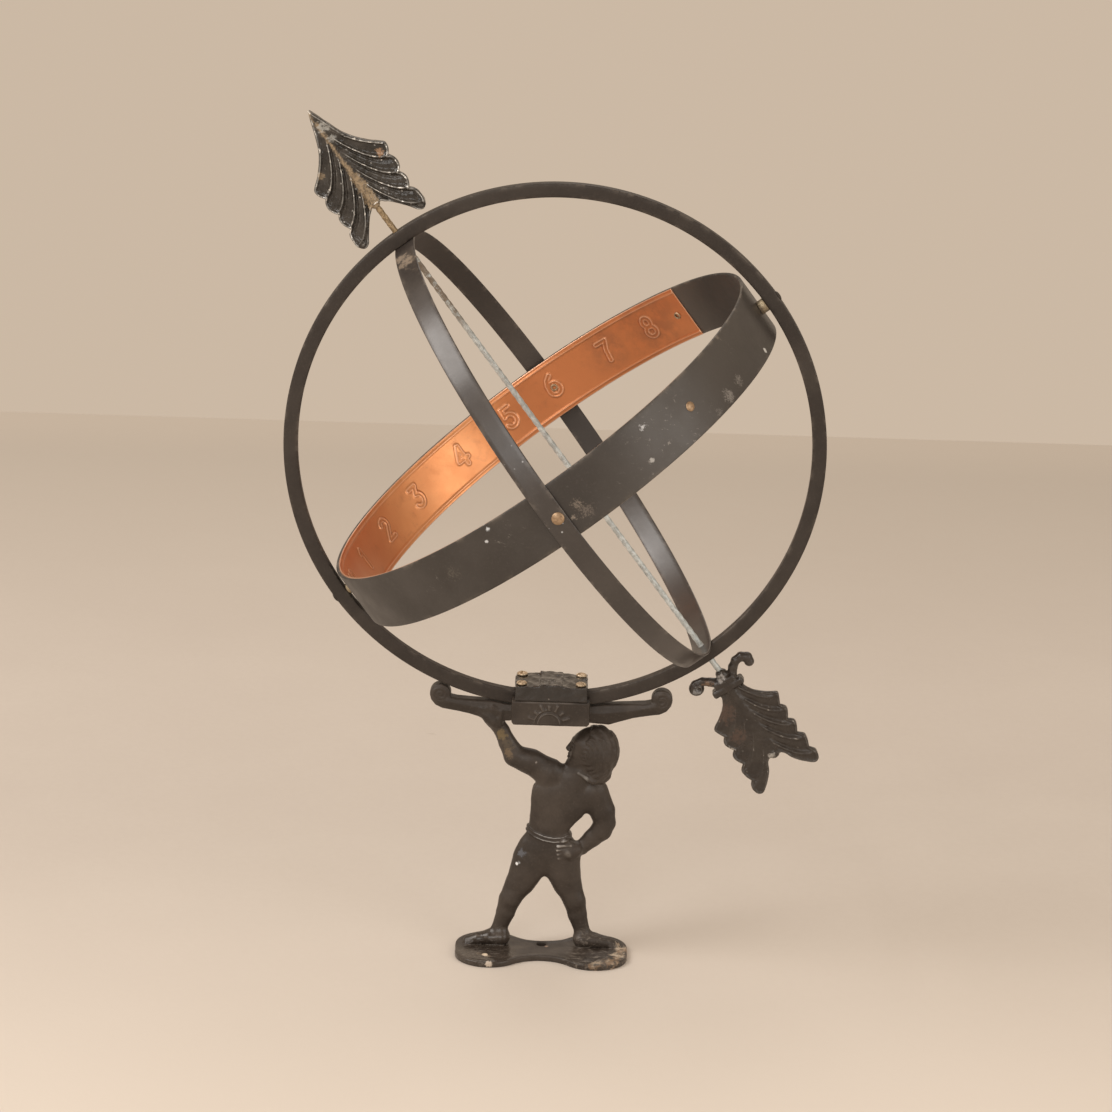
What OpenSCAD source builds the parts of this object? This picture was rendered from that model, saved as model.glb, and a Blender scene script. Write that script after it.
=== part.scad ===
// Garden armillary sphere on a cast Atlas figure.
// Origin: on the ground, straight under the sphere's centre. X runs along the meridian ring,
// Y runs through it towards the afternoon hours, Z is up.

/* [Meridian ring] */
// Outer diameter of the meridian ring
ring_d = 340; // [336:1:344]
// Thickness of its bar, towards the centre
ring_t = 9; // [8:0.5:10]
// Width of its bar, front to back
ring_w = 7; // [6:0.5:8]
// Height of the sphere's centre over the ground
centre_z = 336; // [335:0.5:337]
// Angle of the rod over level
latitude = 53; // [45:1:54]

/* [Inner rings] */
// Width of the colure ring's strip
colure_w = 14; // [12:1:17]
// Thickness of the colure ring's strip
colure_t = 1.5; // [1:0.1:2]
// Angle by which the colure ring sits askew about the rod
colure_skew = 1.5; // [0:0.5:2]
// Width of the equator band
band_w = 37; // [34:1:40]
// Thickness of the equator band
band_t = 2; // [1.5:0.1:2.5]
// Gap between the band and the meridian ring
band_gap = 5; // [4:0.5:6]

/* [Hour strip] */
// Width of the copper hour strip
strip_w = 36.5; // [33:0.5:37]
// Thickness of the copper sheet
strip_t = 0.8; // [0.6:0.1:1]
// Half of the angle that the strip covers
strip_reach = 133; // [125:0.5:140]
// Angle by which the strip's middle is past noon
strip_turn = -1.5; // [-2:0.5:2]
// Height of the bead along each edge
bead_h = 0.5; // [0.3:0.1:0.8]

/* [Rivets] */
// Radius of a rivet's shank
rivet_r = 1.6; // [1.4:0.1:2]
// Radius of a rivet's head
rivet_head_r = 3.2; // [2.8:0.1:3.6]
// Height of a rivet's head
rivet_head_h = 1.2; // [1:0.1:1.4]
// Radius of the large head on the morning rivet
large_head_r = 4; // [3.2:0.1:4.4]
// How far the morning rivet is below the band's middle
morning_drop = 2; // [0:0.5:2.5]
// Radius of the noon spacer
noon_spacer_r = 3.6; // [3:0.1:4]
// Radius of the midnight spacer
midnight_spacer_r = 4.5; // [3:0.1:5]

/* [Rod and arrow] */
// Radius of the rod's round ends
rod_r = 2; // [1.8:0.1:2.2]
// Radius of the round that just holds the twisted middle
twist_r = 2.4; // [2.3:0.1:2.6]
// Length of each rod end beyond the meridian ring
rod_stub = 30; // [26:1:32]
// Distance from the meridian ring to the arrowhead's socket
head_gap = 20; // [19:1:22]
// Thickness of the arrowhead's and the tail's blades
blade_t = 5; // [4:0.5:6]
// Angle by which the tail sits askew on the rod
tail_skew = -3; // [-3:0.5:0]
// How far the arrowhead's blade sits off the rod's axis
head_shift = 1; // [0:0.5:1]

/* [Clamp] */
// Sideways place of the saddle and the yoke on the figure
yoke_x = 2; // [0:0.5:2]
// Width of the saddle block
saddle_w = 49.5; // [48:0.5:52]
// Depth of the saddle block
saddle_d = 30; // [28:1:32]
// Width of the cap
cap_w = 46; // [45:0.5:48]
// Height of the cap at its edges
cap_h = 10; // [9.5:0.5:11]
// Width of the raised middle of the cap
hump_w = 14.5; // [12:0.5:18]
// Distance between the cap screws along the ring
screw_dx = 37.5; // [36:0.5:38]
// Distance between the cap screws across the ring
screw_dy = 19; // [18:0.5:20]
// Radius of a cap screw's head
screw_head_r = 3.4; // [3.2:0.1:3.6]

/* [Base plate] */
// Length of the base plate
base_l = 110.5; // [108:0.5:112]
// Thickness of the base plate
base_t = 4; // [3.5:0.5:4]
// Radius of the rounded lobes
lobe_r = 21.5; // [20:0.5:22]
// Straight part of the lobes, front to back
lobe_flat = 13; // [10:1:14]
// Width of the waist
waist_w = 27; // [24:1:30]
// How far the plate's middle is in front of the figure
base_front = 7.5; // [6:0.5:9]
// Radius of the screw hole between the feet
base_hole_r = 3; // [2.5:0.5:3]

/* [Hidden] */
$fn = 96;
eps = 0.01;
run_gap = 0.05;      // radial play of a shaft that turns in its hole
slide_gap = 0.1;     // play of the ring in the clamp's channel

ring_r = ring_d / 2;
ring_in_r = ring_r - ring_t;
ring_edge = 0.7;     // bevel along the bar's edges
band_out_r = ring_in_r - band_gap;
band_in_r = band_out_r - band_t;
strip_in_r = band_in_r - strip_t;
strip_rivets = [strip_turn - strip_reach + 3.5, strip_turn + strip_reach - 3.5];   // their hour angles
crossings = [-90 - colure_skew, 90 - colure_skew];   // hour angles where the colure ring meets the band

// The colure ring meets the meridian ring at the poles and the band's two edges at its sides.
colure_pole_r = sqrt(pow(ring_in_r, 2) - pow(colure_w / 2, 2)) - colure_t / 2;
band_lift = pow(band_w, 2) / (8 * ring_in_r);
colure_side_r = band_out_r + band_lift + colure_t / 2;
// Shift of the four arcs' centres that makes the oval smooth where they meet.
oval_shift = (colure_pole_r - colure_side_r) / (2 - sqrt(2));
strip_pole_in_r = colure_pole_r - colure_t / 2;

saddle_z = centre_z - ring_r - 9;            // underside of the saddle
seam_z = centre_z - ring_in_r - 2;           // where the cap meets the saddle
cap_top_z = seam_z + cap_h;
hump_h = 1.3;
screw_r = 1.95;
screw_head_h = 2.2;
screw_slot = 1;
screw_depth = 11;                            // how far the screws reach into the saddle
yoke_t = 10;
scroll_r = 6.7;
scroll_x = 70.3;                             // from the yoke's middle to a scroll's centre
scroll_z = centre_z - 163.5;
head_s = ring_r + head_gap;                  // start of the arrowhead's socket, along the rod
tail_s = ring_r + 10;                        // start of the tail's socket, along the rod
web = 0.96;                                  // width of a limb's web, against the rounds it joins

// ---------------------------------------------------------------- places

module at_centre() { translate([0, 0, centre_z]) children(); }

// Z along the rod to the north pole, X to midnight, Y to the evening hours.
module polar() { at_centre() rotate([0, latitude - 90, 0]) children(); }

// On the equator at an hour angle from noon, X pointing outwards.
module at_hour(angle) { polar() rotate([0, 0, 180 - angle]) children(); }

// Where the colure ring crosses the band, on the morning side or the evening side.
module at_crossing(i) { at_hour(crossings[i]) translate([0, 0, i == 0 ? -morning_drop : 0]) children(); }

// A flat shape drawn in X and Z, given a thickness about the meridian plane.
module relief(thickness) { rotate([90, 0, 0]) linear_extrude(thickness, center = true) children(); }

module dome(r, h) {
    ball_r = (r * r + h * h) / (2 * h);
    intersection() {
        cylinder(h = h, r = r);
        translate([0, 0, h - ball_r]) sphere(ball_r);
    }
}

// A rivet along X through a wall, with a domed head at each end. The inner head stands on its rim
// against the hollow side of the wall.
module rivet(from_r, to_r, outer_head_r = rivet_head_r) {
    seat = sqrt(pow(from_r, 2) - pow(rivet_head_r, 2)) - eps;
    rotate([0, 90, 0]) {
        translate([0, 0, seat - eps]) cylinder(h = to_r - seat + 2 * eps, r = rivet_r);
        translate([0, 0, to_r]) dome(outer_head_r, rivet_head_h);
        translate([0, 0, seat]) mirror([0, 0, 1]) dome(rivet_head_r, rivet_head_h);
    }
}

// A round hole along X through a ring's wall.
module wall_hole(r, from_r, to_r) {
    rotate([0, 90, 0]) translate([0, 0, from_r]) cylinder(h = to_r - from_r, r = r);
}

// ---------------------------------------------------------------- sphere

module ring_profile(grow) {
    w = ring_w / 2 + grow;
    r1 = ring_in_r - grow;
    r2 = ring_r + grow;
    b = ring_edge;
    polygon([[r1 + b, -w], [r2 - b, -w], [r2, b - w], [r2, w - b],
             [r2 - b, w], [r1 + b, w], [r1, w - b], [r1, b - w]]);
}

module ring_body(grow) {
    at_centre() rotate([90, 0, 0]) rotate_extrude($fn = 240) ring_profile(grow);
}

module meridian_ring() {
    color("#3b332c") difference() {
        ring_body(0);
        polar() cylinder(h = ring_d + 10, r = rod_r + run_gap, center = true);
        for (angle = [0, 180])
            at_hour(angle) wall_hole(rivet_r + run_gap, ring_in_r - 5, ring_r + 5);
    }
}

module strip_arc(r, width, thickness, half_angle) {
    rotate_extrude(angle = 2 * half_angle, start = -half_angle, $fn = 240)
        translate([r - thickness / 2, -width / 2]) square([thickness, width]);
}

module colure_ring() {
    color("#463c36") difference() {
        polar() rotate([0, 0, colure_skew]) rotate([0, 90, 0]) {
            for (turn = [0, 180])
                rotate([0, 0, turn]) translate([oval_shift, 0, 0])
                    strip_arc(colure_pole_r - oval_shift, colure_w, colure_t, 45);
            for (turn = [90, 270])
                rotate([0, 0, turn]) translate([-oval_shift, 0, 0])
                    strip_arc(colure_side_r + oval_shift, colure_w, colure_t, 45);
        }
        polar() cylinder(h = ring_d + 10, r = rod_r + run_gap, center = true);
        for (i = [0, 1])
            at_crossing(i) wall_hole(rivet_r + run_gap, band_in_r - 5, ring_r + 5);
    }
}

module equator_band() {
    color("#4a433d") difference() {
        polar() difference() {
            cylinder(h = band_w, r = band_out_r, center = true, $fn = 240);
            cylinder(h = band_w + 2, r = band_in_r, center = true, $fn = 240);
        }
        for (angle = concat([0, 180], strip_rivets))
            at_hour(angle) wall_hole(rivet_r + run_gap, band_in_r - 5, band_out_r + 5);
        for (i = [0, 1])
            at_crossing(i) wall_hole(rivet_r + run_gap, band_in_r - 5, band_out_r + 5);
    }
}

module hour_strip() {
    bead_z = strip_w / 2 - 2.5;
    color("#c87440") difference() {
        polar() rotate([0, 0, 180 - strip_turn]) {
            strip_arc(strip_in_r + strip_t / 2, strip_w, strip_t, strip_reach);
            for (side = [-1, 1])
                translate([0, 0, side * bead_z])
                    strip_arc(strip_in_r - bead_h / 2 + eps, 1.4, bead_h, strip_reach);
        }
        for (angle = concat([0], strip_rivets))
            at_hour(angle) wall_hole(rivet_r + run_gap, strip_in_r - 5, band_in_r + 1);
        for (i = [0, 1])
            at_crossing(i) wall_hole(rivet_r + run_gap, strip_in_r - 5, band_in_r + 1);
    }
}

module spacer(angle, r) {
    outer = sqrt(pow(ring_in_r, 2) - pow(r, 2));
    color("#a08a5c") at_hour(angle) rotate([0, 90, 0]) translate([0, 0, band_out_r])
        difference() {
            cylinder(h = outer - band_out_r, r = r);
            translate([0, 0, -1]) cylinder(h = band_gap + 2, r = rivet_r + run_gap);
        }
}

module noon_spacer() { spacer(0, noon_spacer_r); }

module midnight_spacer() { spacer(180, midnight_spacer_r); }

module noon_rivet() { color("#6b5b45") at_hour(0) rivet(strip_in_r, ring_r); }

module midnight_rivet() { color("#6b5b45") at_hour(180) rivet(band_in_r, ring_r); }

module morning_rivet() {
    color("#a07850") at_crossing(0) rivet(strip_in_r, colure_side_r + colure_t / 2, large_head_r);
}

module evening_rivet() { color("#a07850") at_crossing(1) rivet(strip_in_r, colure_side_r + colure_t / 2); }

module strip_rivet_morning() { color("#a07850") at_hour(strip_rivets[0]) rivet(strip_in_r, band_out_r); }

module strip_rivet_evening() { color("#a07850") at_hour(strip_rivets[1]) rivet(strip_in_r, band_out_r); }

// ---------------------------------------------------------------- rod and arrow

module gnomon_rod() {
    shoulder = strip_pole_in_r - 0.3;
    color("#b9bfc0") polar() {
        cylinder(h = 2 * (ring_r + rod_stub), r = rod_r, center = true);
        cylinder(h = 2 * shoulder, r = twist_r, center = true);
    }
}

// Half of a symmetric outline and its mirror image, as one list.
function both_sides(half) = concat(half, [for (i = [len(half) - 1:-1:0]) [-half[i][0], half[i][1]]]);

// The arrowhead's right edge, from the tip back to the socket: sideways and along the rod.
head_edge = [[0.6, 71.5], [5.5, 61], [10, 49], [17, 39], [27, 30], [24, 21.5], [26.7, 17], [23.7, 9.5],
             [25.3, 5], [22.7, -2.5], [25.6, -6], [26.2, -12], [24.5, -17], [20.5, -18], [17, -14], [9, -4],
             [3.6, 0]];

module arrow_head() {
    socket = rod_stub - head_gap;
    spine_r = 3.6;
    spine_h = 30;
    point_h = 38;
    color("#2a2826") polar() translate([0, 0, head_s]) difference() {
        union() {
            translate([head_shift, 0, 0]) relief(blade_t) polygon(both_sides(head_edge));
            cylinder(h = spine_h, r = spine_r);
            translate([0, 0, spine_h]) cylinder(h = point_h, r1 = spine_r, r2 = 0.8);
        }
        translate([0, 0, -1]) cylinder(h = socket + 1, r = rod_r);
    }
}

// The tail feather's right edge, from its collar to the end of the barbs.
tail_edge = [[10, 10], [12, 22], [23.5, 31], [21, 38.5], [23.2, 42.5], [20.3, 49.5], [23.2, 53], [20.5, 60.5],
             [23.7, 65], [21.6, 73], [24, 77], [22.5, 83], [18.8, 83.4], [8.5, 73], [4.5, 66.5]];

module arrow_tail() {
    socket = rod_stub - 10;
    spine_r = 3.6;
    spine_h = 62;
    collar_w = 20;
    collar_d = 9;
    collar_h = 6;
    collar_z = 8;
    arm_r = 2.6;
    color("#38322d") polar() mirror([0, 0, 1]) translate([0, 0, tail_s]) difference() {
        rotate([0, tail_skew, 0]) {
            relief(blade_t) polygon(both_sides(tail_edge));
            cylinder(h = spine_h, r = spine_r);
            translate([-collar_w / 2, -collar_d / 2, collar_z]) cube([collar_w, collar_d, collar_h]);
            for (side = [-1, 1]) {
                translate([side * 18, 0, 1.5]) sphere(4.3);
                translate([0, 0, 5]) rotate([0, side * 82, 0]) cylinder(h = 15.5, r = arm_r);
            }
        }
        translate([0, 0, -1]) cylinder(h = socket + 1, r = rod_r);
    }
}

// ---------------------------------------------------------------- clamp

module clamp_channel() { ring_body(slide_gap); }

module at_screw(side_x, side_y) {
    translate([yoke_x + side_x * screw_dx / 2, side_y * screw_dy / 2, cap_top_z]) children();
}

module clamp_cap() {
    color("#2f2b28") difference() {
        translate([yoke_x, 0, 0]) {
            translate([-cap_w / 2, -saddle_d / 2, seam_z]) cube([cap_w, saddle_d, cap_h]);
            translate([-hump_w / 2, -saddle_d / 2, cap_top_z - eps]) cube([hump_w, saddle_d, hump_h]);
        }
        clamp_channel();
        for (sx = [-1, 1], sy = [-1, 1])
            at_screw(sx, sy) translate([0, 0, -cap_h - 1]) cylinder(h = cap_h + 2, r = screw_r + 0.3);
    }
}

module cap_screw(side_x, side_y) {
    color("#b89a66") at_screw(side_x, side_y) difference() {
        union() {
            cylinder(h = screw_head_h, r = screw_head_r);
            translate([0, 0, -cap_h - screw_depth]) cylinder(h = cap_h + screw_depth + eps, r = screw_r);
        }
        translate([-screw_head_r - 1, -screw_slot / 2, screw_head_h - 1])
            cube([2 * screw_head_r + 2, screw_slot, 2]);
    }
}

module cap_screw_front_left() { cap_screw(-1, -1); }

module cap_screw_front_right() { cap_screw(1, -1); }

module cap_screw_back_left() { cap_screw(-1, 1); }

module cap_screw_back_right() { cap_screw(1, 1); }

// ---------------------------------------------------------------- pedestal casting

module saddle() {
    difference() {
        translate([yoke_x - saddle_w / 2, -saddle_d / 2, saddle_z])
            cube([saddle_w, saddle_d, seam_z - saddle_z]);
        clamp_channel();
        for (sx = [-1, 1], sy = [-1, 1])
            at_screw(sx, sy) translate([0, 0, -cap_h - screw_depth - 0.5])
                cylinder(h = screw_depth + 1, r = screw_r + run_gap);
    }
}

// Half of the yoke beam, from under the saddle out to its scroll.
yoke_half = [[0, -13], [24, -16.5], [37, -17.5], [52, -12.5], [60, -11], [69, -9.6], [73.5, -7.6],
             [76.3, -4], [76.6, -1], [70, 0], [60, -2.5], [31, -4], [0, -4]];

module yoke() {
    difference() {
        translate([yoke_x, 0, scroll_z]) for (side = [0, 1]) mirror([side, 0, 0]) {
            relief(yoke_t) polygon(yoke_half);
            relief(yoke_t) translate([scroll_x, 0]) circle(scroll_r);
        }
        at_centre() rotate([90, 0, 0]) cylinder(h = yoke_t + 2, r = ring_r + 0.9, center = true, $fn = 240);
    }
}

// A limb between two joints: two rounds, and a web between them that stops just short of tangent.
module limb(a, b, ra, rb) {
    reach = norm(b - a);
    along = (b - a) / reach;
    across = [-along[1], along[0]];
    lean = (ra - rb) / reach;
    wide = sqrt(1 - lean * lean);
    left = (across * wide + along * lean) * web;
    right = (along * lean - across * wide) * web;
    translate(a) circle(ra);
    translate(b) circle(rb);
    polygon([a + left * ra, b + left * rb, b + right * rb, a + right * ra]);
}

// A chain of limbs through a list of joints, each [x, z, radius].
module limbs(joints) {
    for (i = [0:len(joints) - 2]) {
        a = joints[i];
        b = joints[i + 1];
        limb([a[0], a[1]], [b[0], b[1]], a[2], b[2]);
    }
}

module legs() {
    limbs([[-9.5, 61, 10], [-15.5, 45, 8.6], [-21, 34, 7], [-23.5, 25, 6], [-27.3, 14, 4.9],
           [-29.5, 8, 4.8]]);
    limbs([[12, 61, 10.8], [16.3, 45, 8.6], [20.6, 34, 7], [22.6, 25, 6.1], [26, 14, 4.9],
           [28.5, 8, 4.8]]);
}

module feet() {
    for (side = [-1, 1]) {
        limbs([[side * 29, 7.6, 4.6], [side * 39, 6.6, 3.4], [side * 47, 5.6, 2.6]]);
        translate([side * 36.5 - 12.5, base_t - 1]) square([25, 3]);
    }
}

module torso() {
    limbs([[-3.5, 67, 14], [9, 66, 13.8]]);
    limbs([[2, 70, 15], [2.7, 83, 12.2], [6, 106, 13.2], [25, 106, 12]]);
    limbs([[5.5, 85, 8], [16, 98, 10]]);
    limbs([[15, 116, 11], [27, 127, 9]]);
}

module raised_arm() {
    limbs([[2, 121, 9.5], [-10, 127.5, 7.8], [-20, 131.5, 7.2], [-28.5, 148, 4.9], [-35, 157, 6.3]]);
}

module akimbo_arm() {
    limbs([[30.5, 108, 10], [38.6, 88, 7], [31, 77.5, 5.9], [24, 70.6, 4.7], [12, 67, 5]]);
}

module head_and_hair() {
    limbs([[29, 149, 8], [29.5, 139, 14.8], [33, 133, 11.5], [30.5, 124, 10]]);
}

function arc(centre, r, from, to, steps) =
    [for (i = [0:steps]) let (a = from + (to - from) * i / steps) centre + r * [cos(a), sin(a)]];

module base_plate() {
    lobe = [base_l / 2 - lobe_r, lobe_flat / 2];     // centre of the lobe's rounding
    dip = waist_w / 2 - lobe[1];
    // Radius of the hollow round that runs smoothly from one lobe past the waist to the other.
    hollow_r = (lobe[0] * lobe[0] + dip * dip - lobe_r * lobe_r) / (2 * (lobe_r - dip));
    hollow = [0, hollow_r + waist_w / 2];
    meet = atan2(hollow[1] - lobe[1], -lobe[0]);
    quarter = concat(arc(lobe, lobe_r, 0, meet, 18), arc(hollow, hollow_r, meet - 179, -90, 10));
    back = both_sides(quarter);
    front = [for (i = [len(back) - 1:-1:0]) [back[i][0], -back[i][1]]];
    translate([0, -base_front, 0]) linear_extrude(base_t) polygon(concat(back, front));
}

module atlas_pedestal() {
    color("#3a332d") difference() {
        union() {
            base_plate();
            relief(11) { feet(); legs(); }
            relief(15) torso();
            relief(10) { raised_arm(); akimbo_arm(); }
            relief(20) head_and_hair();
            yoke();
            saddle();
        }
        translate([0, 0, -1]) cylinder(h = base_t + 3, r = base_hole_r);
    }
}

// ---------------------------------------------------------------- nodes

atlas_pedestal();
clamp_cap();
cap_screw_front_left();
cap_screw_front_right();
cap_screw_back_left();
cap_screw_back_right();
meridian_ring();
colure_ring();
equator_band();
hour_strip();
noon_spacer();
midnight_spacer();
noon_rivet();
midnight_rivet();
morning_rivet();
evening_rivet();
strip_rivet_morning();
strip_rivet_evening();
gnomon_rod();
arrow_head();
arrow_tail();
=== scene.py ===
import math

import bmesh
import bpy
import numpy as np
import openvdb
from mathutils import Matrix, Vector


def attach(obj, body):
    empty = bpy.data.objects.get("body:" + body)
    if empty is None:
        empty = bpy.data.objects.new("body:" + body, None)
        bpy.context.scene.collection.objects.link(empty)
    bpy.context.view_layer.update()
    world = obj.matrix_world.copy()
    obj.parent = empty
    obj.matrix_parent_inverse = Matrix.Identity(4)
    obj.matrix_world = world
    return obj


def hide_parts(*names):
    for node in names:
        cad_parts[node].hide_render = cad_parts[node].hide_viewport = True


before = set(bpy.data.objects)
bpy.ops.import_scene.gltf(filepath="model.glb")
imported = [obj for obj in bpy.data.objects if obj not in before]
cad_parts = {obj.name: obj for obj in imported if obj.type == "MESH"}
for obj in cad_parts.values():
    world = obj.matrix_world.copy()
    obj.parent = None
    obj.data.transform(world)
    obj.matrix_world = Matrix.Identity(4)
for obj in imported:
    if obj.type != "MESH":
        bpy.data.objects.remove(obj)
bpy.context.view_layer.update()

# ------------------------------------------------------------------ sizes, in mm

MM = 0.001
CENTRE_Z = 336.0          # height of the sphere's centre
RING_R = 170.0            # meridian ring, outside
RING_T = 9.0
RING_W = 7.0
RING_IN_R = RING_R - RING_T
LATITUDE = math.radians(53)
COLURE_W = 14.0
COLURE_T = 1.5
BAND_W = 37.0
BAND_T = 2.0
BAND_R = RING_IN_R - 5.0  # equator band, outside
STRIP_W = 36.5
STRIP_T = 0.8
STRIP_R = BAND_R - BAND_T # hour strip, outside
STRIP_REACH = 133.0       # degrees either side of its middle
STRIP_TURN = -1.5         # hour angle of its middle
STRIP_RIVETS = (STRIP_TURN - STRIP_REACH + 3.5, STRIP_TURN + STRIP_REACH - 3.5)
CROSSINGS = (-91.5, 88.5) # hour angles where the colure ring meets the band
MORNING_DROP = 2.0        # the morning rivet is this far below the band's middle
ROD_END_R = 2.0
ROD_SIDE = 3.2            # twisted square bar
ROD_PITCH = 23.0
ROD_HALF = 200.0
POLE_R = math.sqrt(RING_IN_R**2 - (COLURE_W / 2) ** 2) - COLURE_T / 2
SIDE_R = BAND_R + BAND_W**2 / (8 * RING_IN_R) + COLURE_T / 2
OVAL_SHIFT = (POLE_R - SIDE_R) / (2 - math.sqrt(2))
COLURE_SKEW = (math.radians(0.9), math.radians(2.2))  # of its front and rear half, about the rod
HEAD_S = RING_R + 20.0
TAIL_S = RING_R + 10.0
TAIL_SKEW = math.radians(-3)
HEAD_SHIFT = 1.0          # the arrowhead's blade off the rod's axis
YOKE_X = 2.0
SCROLL_Z = CENTRE_Z - 163.5
SADDLE_Z = CENTRE_Z - RING_R - 9.0
SEAM_Z = CENTRE_Z - RING_IN_R - 2.0
CAP_TOP = SEAM_Z + 10.0
CAP_HALF = 23.0           # half lengths of cap and saddle, along the ring
SADDLE_HALF = 24.75
CLAMP_HALF = 15.0         # half of their depth
CHANNEL_PLAY = 0.4        # round the ring, in the clamp's channel
SCREW_X, SCREW_Y = 18.75, 9.5    # cap screws from the clamp's middle
RIVET_R = 1.6             # a rivet's shank, and its plain head
RIVET_HEAD_R = 3.2
BORE_R = 1.7              # a spacer's bore
BASE_T = 4.0
HOLE_R = 3.0              # screw hole between the feet

# Rod frame: local Z to the north pole, X to midnight, Y to the evening hours.
POLAR = (Matrix.Translation((0, 0, CENTRE_Z * MM))
         @ Matrix.Rotation(LATITUDE - math.pi / 2, 4, "Y"))


def at_hour(degrees):
    """Local X points out of the sphere at this hour angle from noon, on the equator."""
    return POLAR @ Matrix.Rotation(math.radians(180 - degrees), 4, "Z")


# ------------------------------------------------------------------ mesh helpers

def make(name, points, faces, body, node, slot_name, material, place=Matrix()):
    """A mesh piece from points in mm, riding on a body and standing for a CAD node."""
    mesh = bpy.data.meshes.new(name)
    faces = faces.tolist() if isinstance(faces, np.ndarray) else faces
    mesh.from_pydata((np.asarray(points, float) * MM).tolist(), [], [tuple(f) for f in faces])
    mesh.transform(place)
    mesh.validate()
    mesh.polygons.foreach_set("use_smooth", np.full(len(mesh.polygons), True))
    mesh.materials.append(material)
    obj = bpy.data.objects.new(name, mesh)
    bpy.context.scene.collection.objects.link(obj)
    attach(obj, body)
    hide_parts(node)
    return obj


def rounded_box(width, height, r, steps=3):
    """Outline of a rectangle with rounded corners, counter-clockwise."""
    out = []
    for cx, cy, a0 in ((1, 1, 0), (-1, 1, 90), (-1, -1, 180), (1, -1, 270)):
        for i in range(steps + 1):
            a = math.radians(a0 + 90 * i / steps)
            out.append((cx * (width / 2 - r) + r * math.cos(a), cy * (height / 2 - r) + r * math.sin(a)))
    return np.array(out)


def split_flats(outline, most):
    """Adds points along an outline's long flats, so that they can carry a little unevenness."""
    out = []
    for a, b in zip(outline, np.roll(outline, -1, axis=0)):
        n = max(1, int(math.ceil(np.linalg.norm(b - a) / most)))
        out += [a + (b - a) * i / n for i in range(n)]
    return np.array(out)


def sweep(path, radial, axial, outline):
    """Sweeps an outline (radial, axial) along a closed path."""
    n, m = len(path), len(outline)
    pts = (path[:, None, :] + outline[None, :, 0, None] * radial[:, None, :]
           + outline[None, :, 1, None] * axial[:, None, :]).reshape(-1, 3)
    faces = []
    for i in range(n):
        for k in range(m):
            j, l = (i + 1) % n, (k + 1) % m
            faces.append((i * m + k, j * m + k, j * m + l, i * m + l))
    return pts, faces


def lathe(profile, segments=40):
    """Turns a profile of (radius, height) about Z, closing it at radius 0."""
    pts, faces, n = [], [], len(profile)
    for i in range(segments):
        a = 2 * math.pi * i / segments
        pts += [(r * math.cos(a), r * math.sin(a), z) for r, z in profile]
    for i in range(segments):
        j = (i + 1) % segments
        faces += [(i * n + k, j * n + k, j * n + k + 1, i * n + k + 1) for k in range(n - 1)]
    return np.array(pts), faces


def fuse(obj):
    """Merges doubled points and turns every face outwards."""
    bm = bmesh.new()
    bm.from_mesh(obj.data)
    bmesh.ops.remove_doubles(bm, verts=bm.verts, dist=2e-6)
    bmesh.ops.recalc_face_normals(bm, faces=bm.faces)
    bm.to_mesh(obj.data)
    bm.free()
    return obj


# ------------------------------------------------------------------ clay: shapes on a voxel grid

def ripple(p, size, seed):
    """Smooth unevenness of about the given size, between -1 and 1."""
    rng = np.random.default_rng(seed)
    out = 0
    for _ in range(6):
        d = rng.normal(size=3)
        d *= 2 * math.pi / (size * rng.uniform(0.7, 1.6)) / np.linalg.norm(d)
        out = out + np.sin(p[0] * d[0] + p[1] * d[1] + p[2] * d[2] + rng.uniform(0, 6.28))
    return out / 4


def step(x, lo, hi):
    """Rises smoothly from 0 to 1."""
    t = np.clip((x - lo) / (hi - lo), 0, 1)
    return t * t * (3 - 2 * t)


def swell(x, at, width):
    """A smooth ridge of height 1."""
    return np.exp(-((x - at) / width)**2)


def smin(a, b, k):
    """The lesser of two, blended over k."""
    if k <= 0:
        return np.minimum(a, b)
    h = np.clip(0.5 + 0.5 * (b - a) / k, 0, 1)
    return b + (a - b) * h - k * h * (1 - h)


def cone_field(p, a, b, ra, rb, flat=1.0):
    """Distance to a round limb from a to b; flat below 1 makes it thinner front to back."""
    q = (p[0] - a[0], (p[1] - a[1]) / flat, p[2] - a[2])
    d = (b[0] - a[0], (b[1] - a[1]) / flat, b[2] - a[2])
    t = np.clip((q[0] * d[0] + q[1] * d[1] + q[2] * d[2]) / max(1e-9, d[0]**2 + d[1]**2 + d[2]**2), 0, 1)
    far = np.sqrt((q[0] - t * d[0])**2 + (q[1] - t * d[1])**2 + (q[2] - t * d[2])**2)
    return (far - (ra + (rb - ra) * t)) * (0.5 + 0.5 * flat)


def chain_field(p, joints, flat, y):
    """Distance to a chain of round limbs through joints of (x, z, radius)."""
    out = 1e3
    for a, b in zip(joints[:-1], joints[1:]):
        out = smin(out, cone_field(p, (a[0], y, a[1]), (b[0], y, b[1]), a[2], b[2], flat), 0.8)
    return out


def ball_field(p, c, r):
    """Distance to an ellipsoid with radii r, near enough for blending."""
    q = [(p[i] - c[i]) / r[i] for i in range(3)]
    k = np.sqrt(q[0]**2 + q[1]**2 + q[2]**2)
    return (k - 1) * min(r)


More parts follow.
